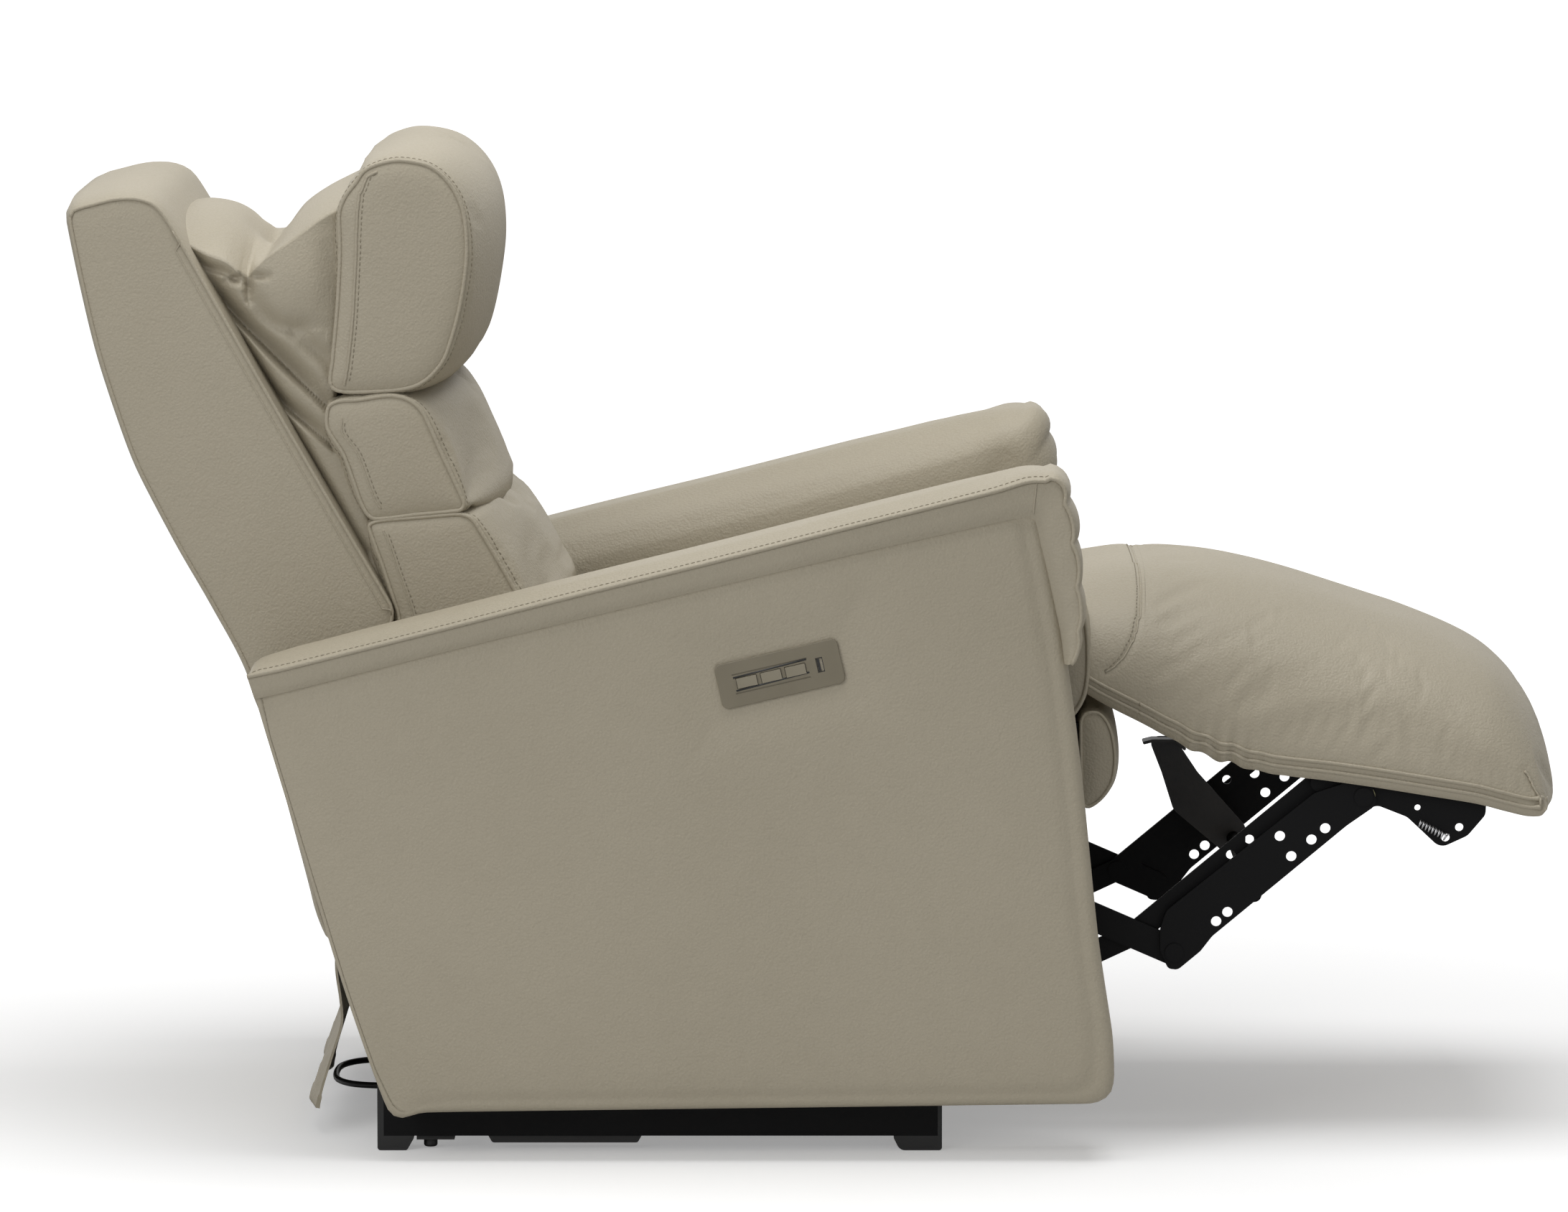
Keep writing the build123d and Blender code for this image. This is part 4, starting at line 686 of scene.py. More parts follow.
def arm_pad(side, name):
    """One arm's soft top, from the foot of its outer side over the welt to the foot inside."""
    columns = 300
    welt, foot = matched(PAD_WELT, PAD_FOOT, columns)
    deep = matched(PAD_WELT, PAD_DEEP, columns)[1] - welt
    reach = np.linalg.norm(deep, axis=1)
    inward = deep / reach[:, None]
    run = run_of(welt)
    up = square_to(welt)
    corner = run[np.argmin(np.abs(welt[:, 0] - PAD_FRONT[0]) + np.abs(welt[:, 1] - PAD_FRONT[1]))]
    fall = np.clip((run - corner) / (run[-1] - corner), 0, 1)
    puff = np.zeros(columns)
    for low, high in zip(FACING_PUFFS, FACING_PUFFS[1:]):
        share = np.clip((fall - low) / (high - low), 0, 1)
        puff += np.where((fall > low) & (fall <= high), np.sin(np.pi * share) ** 0.55, 0.0)
    tail = 1.0 - 0.45 * fall
    ends = np.clip(run / PAD_END, 0, 1) ** 0.5
    outer, inner = side * PAD_OUTER, side * PAD_INNER
    rows = []
    for share in (0.0, 0.45, 0.85):
        lean = side * (PAD_LEAN * (1 - share) ** 1.5)
        swollen = up * (puff * FACING_EDGE_RISE * share)[:, None]
        rows.append(ring(foot + (welt - foot) * share + swollen, outer - lean))
    for share, lift, drop in PAD_SECTION:
        wander = 0.5 + 0.5 * np.cos(2 * np.pi * (share * 1.5 + fall * 2.2))
        fade = math.exp(-((drop / FACING_FADE) ** 2))
        gather = FACING_RISE * puff * tail * (0.75 + 0.25 * wander) * (fall > 0) * fade
        rise = lift * ends * (1 - 0.35 * fall) + gather
        place = welt + up * rise[:, None] + inward * np.minimum(drop, reach * PAD_ROLL_MOST)[:, None]
        rows.append(ring(place, outer + (inner - outer) * share))
    start = np.minimum(PAD_ROLL_DROP, reach * PAD_ROLL_MOST)
    for share in PAD_SIDE:
        rows.append(ring(welt + inward * (start + (reach - start) * share)[:, None], inner))
    cover = np.array(rows)
    pad = skin(name, cover.transpose(1, 0, 2), leather)
    count = cover.shape[0]
    index = np.arange(columns * count).reshape(columns, count)
    sewn = index[:, [0, 1, 2, 3, -3, -2, -1]].ravel()
    held = np.concatenate([sewn, index[fall > 0].ravel(), index[0]])
    swell(pad, np.unique(held), pressure=3.0, cap=0.004)
    done = coords(pad)[index]
    lip = done[:, 3] + ring(up * 0.0004, 0.0) + (0.0, side * 0.0006, 0.0)
    level = run < corner + 0.004
    stitched = done[level][:, 5]
    sew(pad, [tube_rows(lip, 0.0021, 8)], leather)
    stitch_row(pad, stitched, ring(up[level], 0.0))
    meet = np.argmin(np.abs(welt[:, 0] - PAD_JOIN_X) + (fall > 0))
    sew(pad, [tube_rows(flow(done[meet, [3, 2, 1, 0]], 14), 0.0009, 6)], leather)
    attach(pad, "base")
    return pad


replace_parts(arm_pad(-1, "right_arm_top"), "arm_pad_right")
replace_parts(arm_pad(1, "left_arm_top"), "arm_pad_left")


# Seat: a steel frame strung with elastic webbing, and a thick boxed cushion on it whose top
# is crowned. The webbing is black woven elastic and the cover is the same leather.
def woven_strap(name, dark, light):
    material, surface, place = new_finish(name)
    weave = place.add("ShaderNodeTexWave", None, {"Vector": place, "Scale": 260.0, "Distortion": 0.4})
    fuzz = noise(place, 700.0)
    paint(
        surface,
        Base_Color=between(0.6 * weave + 0.4 * fuzz, dark, light),
        Roughness=0.72 + 0.2 * fuzz,
        Normal=raised(weave, 0.4, 0.0005),
    )
    return material


webbing = woven_strap("elastic_webbing", (0.012, 0.012, 0.013), (0.05, 0.05, 0.052))
dress(black_steel, "seat_frame")
dress(webbing, "seat_webbing", "back_webbing")


def boxed(name, side_loop, half, push, edge_dome, band=34, fullness=2.6):
    """A sewn box cushion: a panel on each side of a band that bulges out in the middle.

    push gives how far the band stands out in front, on top, behind and below; the rows of the
    mesh are returned too, so that seams can follow them.
    """
    out = outward(side_loop)
    front, top, behind, below = push
    bulge = (
        np.maximum(out[:, 0], 0) ** 1.5 * front
        + np.maximum(out[:, 1], 0) ** 1.5 * top
        + np.maximum(-out[:, 0], 0) ** 1.5 * behind
        + np.maximum(-out[:, 1], 0) ** 1.5 * below
    )
    near = dome(panel_rows(shrunk(side_loop, 0.985), -half, 22), side_loop, -edge_dome, 0.03)
    far = [row * (1.0, -1.0, 1.0) for row in near][::-1]
    rim = [0.955, 0.978, 0.992, 1.0]
    stations = [*(-share for share in rim[::-1]), *np.linspace(-0.92, 0.92, band), *rim]
    rows = list(near)
    first = len(rows)
    for share in stations:
        grow = bulge * (1 - abs(share) ** fullness) + 0.004 * (1 - abs(share) ** 24)
        rows.append(ring(side_loop + out * grow[:, None], half * share))
    last = len(rows) - 1
    rows += far
    piece = skin(name, rows, leather)
    index = np.arange(len(rows) * len(side_loop)).reshape(len(rows), len(side_loop))
    return piece, (index, first, last)


def panels_of(seams):
    """The points of both side panels and their seams, which stay as they are sewn."""
    index, first, last = seams
    return np.concatenate([index[: first + 1].ravel(), index[last:].ravel()])


def side_welts(piece, seams, stand=0.0006, radius=0.0021):
    """A piped lip along both side seams of a boxed cushion, standing out of them."""
    index, first, last = seams
    for row, side in ((first, -1), (last, 1)):
        points = coords(piece)[index[row]]
        closed = np.vstack([points, points[:2]]) + (0.0, side * stand, 0.0)
        sew(piece, [tube_rows(closed, radius, 8)], leather)


seat_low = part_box("seat_cushion")[0]
SEAT_LOOP = [
    (seat_low.x + 0.004, seat_low.z + 0.012), (seat_low.x + 0.020, seat_low.z + 0.002),
    (0.215, seat_low.z + 0.040), (0.246, seat_low.z + 0.066), (0.252, 0.470), (0.244, 0.512),
    (0.215, 0.518), (-0.05, 0.487), (-0.215, 0.452),
    (seat_low.x + 0.008, 0.440), (seat_low.x + 0.003, 0.422),
]
seat_pad, seat_seams = boxed(
    "seat_pad",
    flow(SEAT_LOOP, 150, closed=True),
    half=0.250,
    push=(0.002, 0.010, 0.002, 0.0),
    edge_dome=0.002,
)
swell(seat_pad, panels_of(seat_seams), pressure=3.0, cap=0.006)
side_welts(seat_pad, seat_seams)
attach(seat_pad, "seat_carriage")
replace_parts(seat_pad, "seat_cushion")


# Front rail pad: a padded rail across the chair under the front of the seat, boxed with a
# seam a little behind its face. Leather over foam on the seat's front rail.
RAIL_LOOP = [
    (0.2455, 0.400), (0.250, 0.409), (0.262, 0.410), (0.271, 0.400), (0.276, 0.385), (0.278, 0.364),
    (0.275, 0.344), (0.265, 0.328), (0.253, 0.320), (0.2465, 0.326),
]
rail_pad, rail_seams = boxed(
    "front_rail_cover",
    flow(RAIL_LOOP, 90, closed=True),
    half=0.247,
    push=(0.004, 0.001, 0.0, 0.001),
    edge_dome=0.003,
)
side_welts(rail_pad, rail_seams, stand=0.0004, radius=0.0016)
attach(rail_pad, "seat_carriage")
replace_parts(rail_pad, "front_rail_pad")


# Footrest and chaise strip: one long pillow from the seat to the toe, cut in two where the sewn
# seam crosses it. The strip rides on the seat; the pillow sits on a ply board. The leather runs
# over the sides and the toe to two welts above the bottom edge.
PLY_TONES = (0.38, 0.26, 0.14), (0.56, 0.41, 0.25)
PLY_STRETCH = (4.0, 60.0, 400.0)
PLY_BUMP = (0.15, 0.0006)
birch_ply = streaked("birch_ply", PLY_STRETCH, 5.0, PLY_TONES, rough=0.5, vary=0.2, bump=PLY_BUMP)
dress(birch_ply, "footrest_board")
FOOT_HALF = 0.2495
FOOT_ROUND = (0.60, 0.82)
FOOT_TUCK = 0.008
FOOT_TOP = [
    (0.236, 0.529), (0.262, 0.534), (0.291, 0.5385), (0.313, 0.538), (0.345, 0.536), (0.390, 0.530),
    (0.446, 0.516), (0.530, 0.489), (0.573, 0.475), (0.620, 0.457), (0.650, 0.441), (0.676, 0.416),
    (0.696, 0.383), (0.706, 0.350), (0.708, 0.324),
]
FOOT_UNDER = [
    (0.238, 0.438), (0.258, 0.424), (0.280, 0.412), (0.302, 0.401), (0.330, 0.386), (0.362, 0.370),
    (0.420, 0.353), (0.480, 0.345), (0.530, 0.338), (0.584, 0.330), (0.630, 0.323), (0.660, 0.316),
    (0.684, 0.311), (0.700, 0.311), (0.707, 0.316),
]
FOOT_COLUMNS = 190
FOOT_SPLIT = 26
FOOT_EDGE = np.array([0.935, 0.948, 0.958, 0.972, 0.992])
FOOT_UNDERSIDE = np.concatenate([-FOOT_EDGE[::-1], np.linspace(-0.9, 0.9, 34), FOOT_EDGE])
FOOT_HOLLOW = 0.016
FOOT_LEAST_HIGH = 0.03
GATHER_X = 0.376
GATHER_DEEP = 0.0022
TOE_BACK = 0.018
foot_top, foot_under = matched(FOOT_TOP, FOOT_UNDER, FOOT_COLUMNS)


def pillow_section(step, spread, level):
    """Points of one section across the pillow: spread runs over its width, level over its height."""
    upper, lower = foot_top[step], foot_under[step]
    toe = step / (FOOT_COLUMNS - 1)
    back = TOE_BACK * np.abs(spread) ** 3.0 * np.clip((toe - 0.6) / 0.4, 0, 1)
    gather = np.exp(-(((lower[0] - GATHER_X) / 0.035) ** 2)) * np.exp(-((np.abs(level) / 0.16) ** 2))
    tuck = GATHER_DEEP * gather * math.sin(lower[0] * 400.0)
    x = lower[0] + (upper[0] - lower[0]) * np.maximum(level, 0) - back
    z = lower[1] + (upper[1] - lower[1]) * level + GATHER_DEEP * gather * math.sin(lower[0] * 230.0)
    slope = 1 - FOOT_TUCK * np.clip(1 - level / 0.25, 0, 1) ** 1.5
    return np.stack([x, (FOOT_HALF + tuck) * spread * slope, z], axis=1)


def pillow_rim(level):
    """Where a level of the side lies across the width, on the pillow's rounded section."""
    return np.cos(np.arcsin(level ** (1 / FOOT_ROUND[1]))) ** FOOT_ROUND[0]


def pillow_height(step):
    return max(foot_top[step][1] - foot_under[step][1], FOOT_LEAST_HIGH)


def pillow_rows():
    """All sections from the seat to the toe, over the top and back along the hollow underside."""
    turn = np.linspace(0, np.pi, 2 * len(FOOT_UNDERSIDE))[1:-1]
    over = np.sign(np.cos(turn)) * np.abs(np.cos(turn)) ** FOOT_ROUND[0]
    spread = np.concatenate([over, FOOT_UNDERSIDE])
    within = np.clip((FOOT_EDGE[2] - np.abs(FOOT_UNDERSIDE)) / 0.01, 0, 1)
    rows = []
    for step in range(FOOT_COLUMNS):
        hollow = FOOT_HOLLOW * within / pillow_height(step)
        level = np.concatenate([np.sin(turn) ** FOOT_ROUND[1], hollow])
        rows.append(pillow_section(step, spread, level))
    return rows


foot_rows = pillow_rows()
bridge = skin("chaise_strip", foot_rows[: FOOT_SPLIT + 1], leather)
footrest_pad = skin("footrest_pillow", foot_rows[FOOT_SPLIT:], leather)
foot_wide = len(foot_rows[0])
foot_index = np.arange((FOOT_COLUMNS - FOOT_SPLIT) * foot_wide).reshape(-1, foot_wide)
foot_sewn = (foot_index[:3], foot_index[-2:], foot_index[:, -len(FOOT_UNDERSIDE) - 3 :], foot_index[:, :3])
foot_held = np.concatenate([part.ravel() for part in foot_sewn])
swell(footrest_pad, np.unique(foot_held), pressure=2.5, cap=0.005, slack=0.004)


def on_cover(piece, points):
    """The nearest points on a piece's cover to some points near it, and the way it faces there."""
    found = [piece.closest_point_on_mesh(Vector(p)) for p in points]
    return np.array([f[1] for f in found]), np.array([f[2] for f in found])


def pull_in(piece, path, depth, width):
    """Draws the leather in along a sewn line, as a groove of a given depth and width."""
    tree = kdtree.KDTree(len(path))
    for i, point in enumerate(path):
        tree.insert(Vector(point), i)
    tree.balance()
    points = coords(piece)
    lean = coords(piece, "normal")
    near = np.array([tree.find(Vector(p))[2] for p in points])
    weight = np.exp(-((near / width) ** 2))
    reshape(piece, points - lean * (weight * depth)[:, None])


WELT_RISES = (0.017, 0.009)
TOE_TUCK = [(0.6885, 0.374), (0.690, 0.362), (0.6915, 0.345), (0.692, 0.328)]
TOE_TUCK_Y = 0.27
STRIP_SEAM = [
    (0.446, 0.246), (0.449, 0.272), (0.463, 0.287), (0.480, 0.297), (0.500, 0.303), (0.520, 0.3055),
    (0.560, 0.3055),
]
STRIP_STITCH_OFF = 0.0045
for side in (-1, 1):
    for piece, first, last in ((bridge, 0, FOOT_SPLIT + 1), (footrest_pad, FOOT_SPLIT, FOOT_COLUMNS - 8)):
        for rise in WELT_RISES:
            rim = []
            for step in range(first, last):
                level = rise / pillow_height(step)
                width = np.array([side * pillow_rim(min(level, 0.9))])
                rim.append(pillow_section(step, width, np.array([level]))[0])
            rim_on, rim_facing = on_cover(piece, rim)
            sew(piece, [tube_rows(rim_on + rim_facing * 0.0006, 0.0019, 8)], leather)
    tuck = on_cover(footrest_pad, ring(flow(TOE_TUCK, 30), side * TOE_TUCK_Y))[0]
    pull_in(footrest_pad, tuck, depth=0.0012, width=0.0045)
    sew(footrest_pad, [tube_rows(tuck, 0.0012, 8)], leather)
seam_z, seam_x = np.array(STRIP_SEAM).T
across = np.array(foot_rows[FOOT_SPLIT - 3][: foot_wide - len(FOOT_UNDERSIDE)])
across = across[across[:, 2] > seam_z[0] + 0.001]
across[:, 0] = np.interp(across[:, 2], seam_z, seam_x)
seam_path = flow(across, 260)
pull_in(bridge, on_cover(bridge, seam_path)[0], depth=0.0020, width=0.0030)
seam_on = on_cover(bridge, seam_path)[0]
sew(bridge, [tube_rows(seam_on, 0.0010, 8)], leather)
stitched, stitched_facing = on_cover(bridge, seam_on - (STRIP_STITCH_OFF, 0.0, 0.0))
stitch_row(bridge, stitched, stitched_facing)
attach(bridge, "seat_carriage")
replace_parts(bridge, "chaise_bridge")
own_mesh(bridge)
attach(footrest_pad, "footrest")
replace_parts(footrest_pad, "footrest_cushion")


# Back frame: hinge tube with its lever, uprights, brackets and the plate that carries the
# headrest. Black coated steel, hidden behind the shell and the cushions.
dress(black_steel, "back_hinge", "back_uprights", "headrest_brackets", "headrest_frame")


# Back shell: the outside back and wings, a moulded shell covered in leather. A welt runs round
# each side panel, and a thin sewn join follows it just inside the front edge.
SHELL_HALF = 0.252
SHELL_LOOP = [
    (-0.709, 0.889), (-0.712, 0.878), (-0.700, 0.817), (-0.684, 0.749), (-0.662, 0.680),
    (-0.646, 0.639), (-0.611, 0.571), (-0.577, 0.511), (-0.545, 0.449), (-0.516, 0.357),
    (-0.494, 0.275), (-0.485, 0.240), (-0.479, 0.216), (-0.470, 0.194), (-0.462, 0.192),
    (-0.457, 0.215), (-0.448, 0.300), (-0.424, 0.440), (-0.410, 0.500), (-0.411, 0.514),
    (-0.500, 0.668), (-0.600, 0.845), (-0.620, 0.879), (-0.632, 0.894), (-0.648, 0.900),
    (-0.668, 0.900), (-0.690, 0.895),
]
shell, shell_seams = boxed(
    "outside_back",
    flow(SHELL_LOOP, 240, closed=True),
    half=SHELL_HALF,
    push=(0.0, 0.006, 0.006, 0.0),
    edge_dome=0.002,
    fullness=4.0,
)
side_welts(shell, shell_seams, stand=0.0005, radius=0.0018)


def join_line(piece, line, half, radius, stitched=None):
    """A sewn join on both side panels along a flat line: a thin ridge, and stitches beside it."""
    for side in (-1, 1):
        path = on_cover(piece, ring(flow(line, 120), side * (half + 0.02)))[0]
        if stitched:
            beside, beside_facing = on_cover(piece, path + np.array(stitched))
            stitch_row(piece, beside, beside_facing)
        sew(piece, [tube_rows(path, radius, 6)], leather)


SHELL_FRONT_JOIN = [
    (-0.619, 0.868), (-0.606, 0.842), (-0.506, 0.665), (-0.420, 0.516), (-0.414, 0.505),
]
join_line(shell, SHELL_FRONT_JOIN, SHELL_HALF, radius=0.0008)
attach(shell, "backrest")
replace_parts(shell, "back_shell")


# Lumbar cushions: two boxed cushions on the back's webbing, each with side panels and a front
# band that bulges forward. Leather over foam, with a welt and a topstitch along both side seams.
LUMBAR_HALF = 0.246
UPPER_LOOP = [
    (-0.469, 0.702), (-0.458, 0.708), (-0.441, 0.709), (-0.412, 0.713), (-0.393, 0.709),
    (-0.379, 0.696), (-0.362, 0.658), (-0.341, 0.612), (-0.345, 0.604), (-0.385, 0.600),
    (-0.426, 0.596), (-0.438, 0.610), (-0.454, 0.655), (-0.470, 0.682),
]
LOWER_LOOP = [
    (-0.431, 0.588), (-0.420, 0.594), (-0.385, 0.597), (-0.346, 0.600), (-0.332, 0.594),
    (-0.310, 0.558), (-0.291, 0.524), (-0.279, 0.503), (-0.282, 0.489), (-0.303, 0.481),
    (-0.360, 0.479), (-0.396, 0.486), (-0.405, 0.510), (-0.418, 0.550),
]
UPPER_JOIN = [(-0.457, 0.692), (-0.458, 0.676), (-0.443, 0.655), (-0.428, 0.616), (-0.420, 0.603)]
LOWER_JOIN = [(-0.419, 0.587), (-0.407, 0.549), (-0.394, 0.512), (-0.386, 0.488)]


def trim_band(piece, seams):
    """A welt on each side seam of a boxed cushion and a topstitch just inside it on the band."""
    index, first, last = seams
    points, lean = coords(piece), coords(piece, "normal")
    stitched = [(points[row], lean[row]) for row in (index[first + 2], index[last - 2])]
    side_welts(piece, seams)
    for line, facing in stitched:
        stitch_row(piece, line, facing)


def lumbar_cushion(name, node, loop, join):
    lumbar, seams = boxed(
        name,
        flow(loop, 170, closed=True),
        half=LUMBAR_HALF,
        push=(0.034, 0.006, 0.0, 0.004),
        edge_dome=0.005,
    )
    swell(lumbar, panels_of(seams), pressure=3.5, cap=0.007, slack=0.012)
    join_line(lumbar, join, LUMBAR_HALF, radius=0.0009, stitched=(0.003, 0.0, 0.0015))
    trim_band(lumbar, seams)
    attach(lumbar, "backrest")
    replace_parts(lumbar, node)
    return lumbar


lumbar_cushion("upper_lumbar", "lumbar_upper", UPPER_LOOP, UPPER_JOIN)
lower_lumbar = lumbar_cushion("lower_lumbar", "lumbar_lower", LOWER_LOOP, LOWER_JOIN)
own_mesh(lower_lumbar)


# Headrest: a boxed pillow on a tilting plate. Side panels in a welt, a stitched strip behind
# them, and a band that bulges over the front and the top. Leather over foam.
HEAD_HALF = 0.244
HEAD_LOOP = [
    (-0.4665, 0.7225), (-0.465, 0.747), (-0.460, 0.800), (-0.4575, 0.850), (-0.458, 0.886),
    (-0.452, 0.902), (-0.442, 0.915), (-0.433, 0.927), (-0.416, 0.934), (-0.398, 0.936),
    (-0.371, 0.930), (-0.351, 0.911), (-0.340, 0.884), (-0.338, 0.843), (-0.345, 0.795),
    (-0.358, 0.751), (-0.372, 0.732), (-0.388, 0.722), (-0.410, 0.718), (-0.450, 0.7165),
]
HEAD_STRIP = [
    (-0.424, 0.9310), (-0.434, 0.9245), (-0.440, 0.911), (-0.4415, 0.896), (-0.4465, 0.800),
    (-0.450, 0.760), (-0.4545, 0.722), (-0.4547, 0.717),
]
headrest, head_seams = boxed(
    "headrest_pillow",
    flow(HEAD_LOOP, 180, closed=True),
    half=HEAD_HALF,
    push=(0.022, 0.007, -0.016, 0.002),
    edge_dome=0.006,
)
swell(headrest, panels_of(head_seams), pressure=3.5, cap=0.007, slack=0.012)
join_line(headrest, HEAD_STRIP, HEAD_HALF, radius=0.0016, stitched=(0.0042, 0.0, 0.0))
trim_band(headrest, head_seams)
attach(headrest, "headrest")
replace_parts(headrest, "headrest_cushion")


# Gusset: the loose cover between the shell's edge and the cushions, sewn to both, that lets the
# headrest tilt. One piece of leather up one side, across the top and down the other. Each fold
# is listed as its depth, its width on the soft and on the sharp side, and its line.
GUSSET_HALF = 0.238
GUSSET_SHELL_EDGE = [
    (-0.616, 0.862), (-0.592, 0.822), (-0.562, 0.770), (-0.530, 0.714), (-0.500, 0.662),
    (-0.470, 0.610), (-0.440, 0.558), (-0.410, 0.506),
]
GUSSET_CUSHION_EDGE = [
    (-0.452, 0.893), (-0.450, 0.838), (-0.453, 0.786), (-0.459, 0.728), (-0.464, 0.690),
    (-0.448, 0.640), (-0.428, 0.590), (-0.398, 0.508),
]
GUSSET_TOP_SEAM = [
    (-0.616, 0.862), (-0.590, 0.848), (-0.566, 0.839), (-0.552, 0.827), (-0.545, 0.825),
    (-0.536, 0.835), (-0.524, 0.846), (-0.500, 0.862), (-0.477, 0.879), (-0.452, 0.893),
]
GUSSET_TOP_MIDDLE = [
    (-0.624, 0.878), (-0.600, 0.882), (-0.578, 0.879), (-0.561, 0.871), (-0.545, 0.858),
    (-0.530, 0.847), (-0.520, 0.855), (-0.504, 0.878), (-0.482, 0.894), (-0.446, 0.912),
]
GUSSET_FOLDS = [
    (
        0.024, 0.013, 0.0030,
        [(-0.606, 0.846), (-0.576, 0.806), (-0.550, 0.778), (-0.501, 0.729), (-0.468, 0.698)],
    ),
    (
        0.019, 0.009, 0.0028,
        [(-0.580, 0.804), (-0.562, 0.778), (-0.539, 0.736), (-0.515, 0.705), (-0.464, 0.662)],
    ),
    (0.020, 0.008, 0.0060, [(-0.566, 0.774), (-0.527, 0.709), (-0.500, 0.664), (-0.440, 0.562)]),
    (0.009, 0.010, 0.0070, [(-0.545, 0.812), (-0.531, 0.790), (-0.515, 0.778), (-0.492, 0.776)]),
    (0.010, 0.0045, 0.0035, [(-0.546, 0.832), (-0.545, 0.803)]),
    (0.007, 0.0050, 0.0030, [(-0.548, 0.826), (-0.566, 0.822)]),
    (0.006, 0.0045, 0.0030, [(-0.543, 0.826), (-0.526, 0.826)]),
    (0.008, 0.0060, 0.0030, [(-0.612, 0.852), (-0.590, 0.836), (-0.566, 0.828), (-0.550, 0.818)]),
    (0.009, 0.010, 0.0080, [(-0.500, 0.770), (-0.470, 0.745), (-0.462, 0.730)]),
    (0.005, 0.010, 0.0120, [(-0.470, 0.872), (-0.466, 0.820), (-0.470, 0.780)]),
]
GUSSET_SEAM_SINK = 0.014
GUSSET_PUFF = 0.012
GUSSET_PUFF_AT = (-0.505, 0.815)
GUSSET_RIPPLE = 0.004
FOLD_POINTS = 60


def fold_depth(points, line, depth, soft, sharp):
    """How deep a fold goes at flat points: it falls softly on one side and sharply on the other."""
    path = flow(line, FOLD_POINTS)
    gap = points[:, None, :] - path[None, :, :]
    distance = np.linalg.norm(gap, axis=2)
    nearest = distance.argmin(axis=1)
    step = np.gradient(path, axis=0)[nearest]
    offset = gap[np.arange(len(points)), nearest]
    right = step[:, 0] * offset[:, 1] - step[:, 1] * offset[:, 0] > 0
    width = np.where(right, soft, sharp)
    taper = np.sin(np.pi * np.clip(nearest / (FOLD_POINTS - 1), 0.1, 0.9)) ** 0.5
    return depth * taper * np.exp(-((distance[np.arange(len(points)), nearest] / width) ** 2))


def gusset_side(rows, columns):
    """One side of the gusset from its top seam down to its point, as X, depth and Z."""
    shell_edge, cushion_edge = matched(GUSSET_SHELL_EDGE, GUSSET_CUSHION_EDGE, rows)
    seam = flow(GUSSET_TOP_SEAM, columns)
    share = np.linspace(0, 1, columns)[None, :, None]
    flat = shell_edge[:, None] * (1 - share) + cushion_edge[:, None] * share
    fall = np.linspace(0, 1, rows)[:, None, None]
    flat += (seam[None] - flat[:1]) * (1 - fall) ** 5
    points = flat.reshape(-1, 2)
    sunk = np.zeros(len(points))
    for depth, soft, sharp, line in GUSSET_FOLDS:
        sunk += fold_depth(points, line, depth, soft, sharp)
    swollen = GUSSET_PUFF * np.exp(-np.sum(((points - GUSSET_PUFF_AT) / 0.05) ** 2, axis=1))
    edge = np.broadcast_to(np.abs(share[..., 0] * 2 - 1) ** 8, flat.shape[:2]).ravel()
    sunk = sunk * (1 - edge) + GUSSET_SEAM_SINK * edge - swollen * (1 - edge)
    return np.stack([flat[..., 0], sunk.reshape(rows, columns), flat[..., 1]], axis=2)


def gusset_cover():
    """The whole piece: up the near side, across the top in a soft arch and down the far side."""
    columns, side_rows, top_rows = 150, 230, 70
    side = gusset_side(side_rows, columns)
    near = side + (0, -GUSSET_HALF, 0)
    far = side * (1, -1, 1) + (0, GUSSET_HALF, 0)
    edge = near[0]
    middle = flow(GUSSET_TOP_MIDDLE, columns)
    valley = np.exp(-(((middle[:, 0] + 0.530) / 0.02) ** 2))
    top = []
    for share in np.linspace(-1, 1, top_rows)[1:-1]:
        rise = (1 - abs(share) ** 2.4) ** 0.8
        ripple = GUSSET_RIPPLE * math.sin(9.0 * share) * valley
        row = np.stack([edge[:, 0], np.zeros(columns), edge[:, 2]], axis=1)
        row[:, [0, 2]] += (middle - edge[:, [0, 2]]) * rise
        row[:, 2] += ripple * rise
        row[:, 1] = -edge[:, 1] * share
        top.append(row)
    rows = list(near[::-1]) + top + list(far)
    return skin("back_gathered_cover", rows, leather, closed=False)


gusset = gusset_cover()
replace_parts(gusset, "back_gusset")
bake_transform(gusset)


# Rear skirt: a loose flap that hangs from the bottom of the shell and hides the base. A double
# layer of leather with a folded hem, in slow waves, that leans back clear of the cable.
SKIRT_HALF = 0.225
SKIRT_THICK = 0.0024
SKIRT_HEM_FROM = 0.93
SKIRT_HEM_THICKER = 1.7
SKIRT_WAVE = 0.0035
SKIRT_SLOW_WAVE = 0.0025
SKIRT_LINE = [
    (-0.465, 0.190), (-0.466, 0.160), (-0.463, 0.132), (-0.4625, 0.108), (-0.472, 0.080),
    (-0.482, 0.052), (-0.488, 0.032), (-0.489, 0.0265),
]


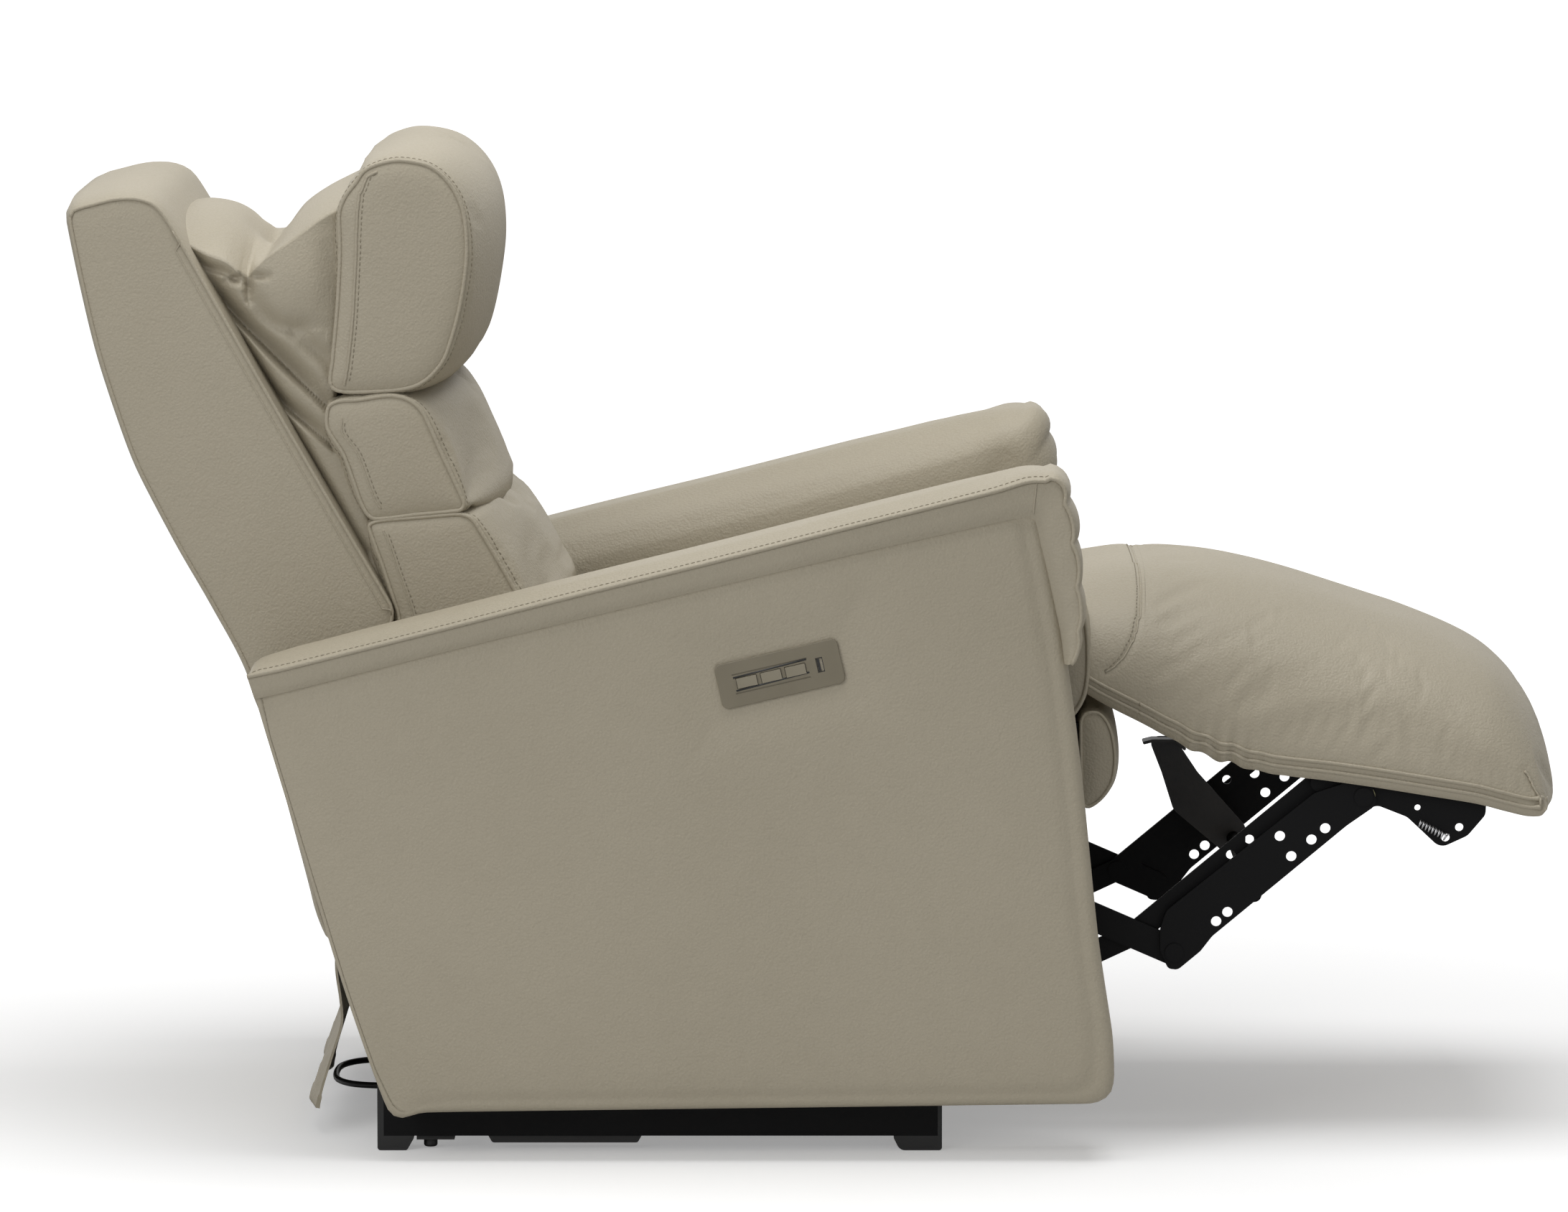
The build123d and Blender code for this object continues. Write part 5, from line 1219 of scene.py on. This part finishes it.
def hanging_flap():
    line = flow(SKIRT_LINE, 60)
    face = square_to(line)
    drop = np.linspace(0, 1, len(line))
    hem = np.where(drop > SKIRT_HEM_FROM, SKIRT_HEM_THICKER, 1.0)[:, None]
    rows = []
    for y in np.linspace(-SKIRT_HALF, SKIRT_HALF, 90):
        wave = SKIRT_WAVE * math.sin(y * 46.0) + SKIRT_SLOW_WAVE * math.sin(y * 23.0 + 1.0)
        centre = line + face * (wave * drop**1.4)[:, None]
        front = centre + face * SKIRT_THICK / 2 * hem
        back = centre - face * SKIRT_THICK / 2 * hem
        rows.append(ring(np.vstack([front, back[::-1]]), y))
    return skin("rear_flap", rows, leather)


rear_flap = hanging_flap()
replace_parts(rear_flap, "rear_skirt")
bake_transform(rear_flap)


# Studio: a white floor that keeps the soft shadow, a large soft box overhead, a fill beside
# the camera and a white surround. The floor's glow, seen by the camera alone, is weaker near
# the chair: painted shade round the chair, on top of the shadow that the lamps cast.
# Painted shade: the floor's camera-only glow runs from FLOOR_GLOW_NEAR by the chair up to FLOOR_GLOW_FAR
# away from it.
FLOOR_GLOW_NEAR = 0.30
FLOOR_GLOW_FAR = 0.9
FLOOR_GLOW_FROM = 0.5
FLOOR_GLOW_TO = 2.6
SURROUND_LIGHT = 0.27
CAMERA_AT = (-0.037, -8.795, 1.4555)
CAMERA_DOWN = math.radians(6.295)
CAMERA_LENS = 207.69
CAMERA_SENSOR = 36.0


def studio_floor():
    """White, with a glow seen by the camera alone that grows away from the chair; where it is weak near
    the chair it leaves a painted soft shade.
    """
    material, surface, place = new_finish("studio_floor")
    seen = place.add("ShaderNodeLightPath", output="Is Camera Ray")
    away = place.add("ShaderNodeVectorMath", {"operation": "LENGTH"}, {0: place}, "Value")
    far = away.add(
        "ShaderNodeMapRange",
        {"interpolation_type": "SMOOTHSTEP"},
        {
            "Value": away,
            "From Min": FLOOR_GLOW_FROM,
            "From Max": FLOOR_GLOW_TO,
            "To Min": FLOOR_GLOW_NEAR,
            "To Max": FLOOR_GLOW_FAR,
        },
    )
    paint(
        surface,
        Base_Color=(0.80, 0.80, 0.80, 1.0),
        Roughness=0.9,
        Specular_IOR_Level=0.1,
        Emission_Color=between(far * seen, (0.0, 0.0, 0.0), (1.0, 1.0, 1.0)),
        Emission_Strength=1.0,
    )
    return material


floor_mesh = bpy.data.meshes.new("floor")
floor_mesh.from_pydata([(-30, -20, 0), (30, -20, 0), (30, 60, 0), (-30, 60, 0)], [], [(0, 1, 2, 3)])
floor_mesh.materials.append(studio_floor())
floor = put("floor", floor_mesh)

world = bpy.data.worlds.new("surround")
world.use_nodes = True
bpy.context.scene.world = world
rays = world.node_tree.nodes.new("ShaderNodeLightPath")
shown = (
    Shade(world.node_tree, rays.outputs["Is Camera Ray"])
    + Shade(world.node_tree, rays.outputs["Is Glossy Ray"])
    + Shade(world.node_tree, rays.outputs["Is Transmission Ray"])
)
backdrop = world.node_tree.nodes["Background"]
feed(backdrop.inputs["Color"], (1.0, 1.0, 1.0, 1.0))
surround = SURROUND_LIGHT + (1.0 - SURROUND_LIGHT) * shown.math("MINIMUM", shown, 1.0)
feed(backdrop.inputs["Strength"], surround)


def soft_box(name, at, aim, size, power):
    lamp = bpy.data.lights.new(name, "AREA")
    lamp.shape = "RECTANGLE"
    lamp.size, lamp.size_y = size
    lamp.energy = power
    box = put(name, lamp)
    box.location = at
    box.rotation_euler = (Vector(aim) - Vector(at)).to_track_quat("-Z", "Y").to_euler()


soft_box("overhead", at=(0.0, -0.3, 3.1), aim=(0.0, 0.0, 0.4), size=(2.6, 2.2), power=63.0)
soft_box("camera_fill", at=(-2.6, -3.7, 2.2), aim=(0.0, 0.0, 0.5), size=(2.4, 1.8), power=58.0)

camera = bpy.data.cameras.new("camera")
camera.lens = CAMERA_LENS
camera.sensor_width = CAMERA_SENSOR
viewpoint = put("camera", camera)
viewpoint.location = CAMERA_AT
viewpoint.rotation_euler = (math.pi / 2 - CAMERA_DOWN, 0.0, 0.0)
bpy.context.scene.camera = viewpoint
bpy.context.scene.view_settings.view_transform = "Standard"
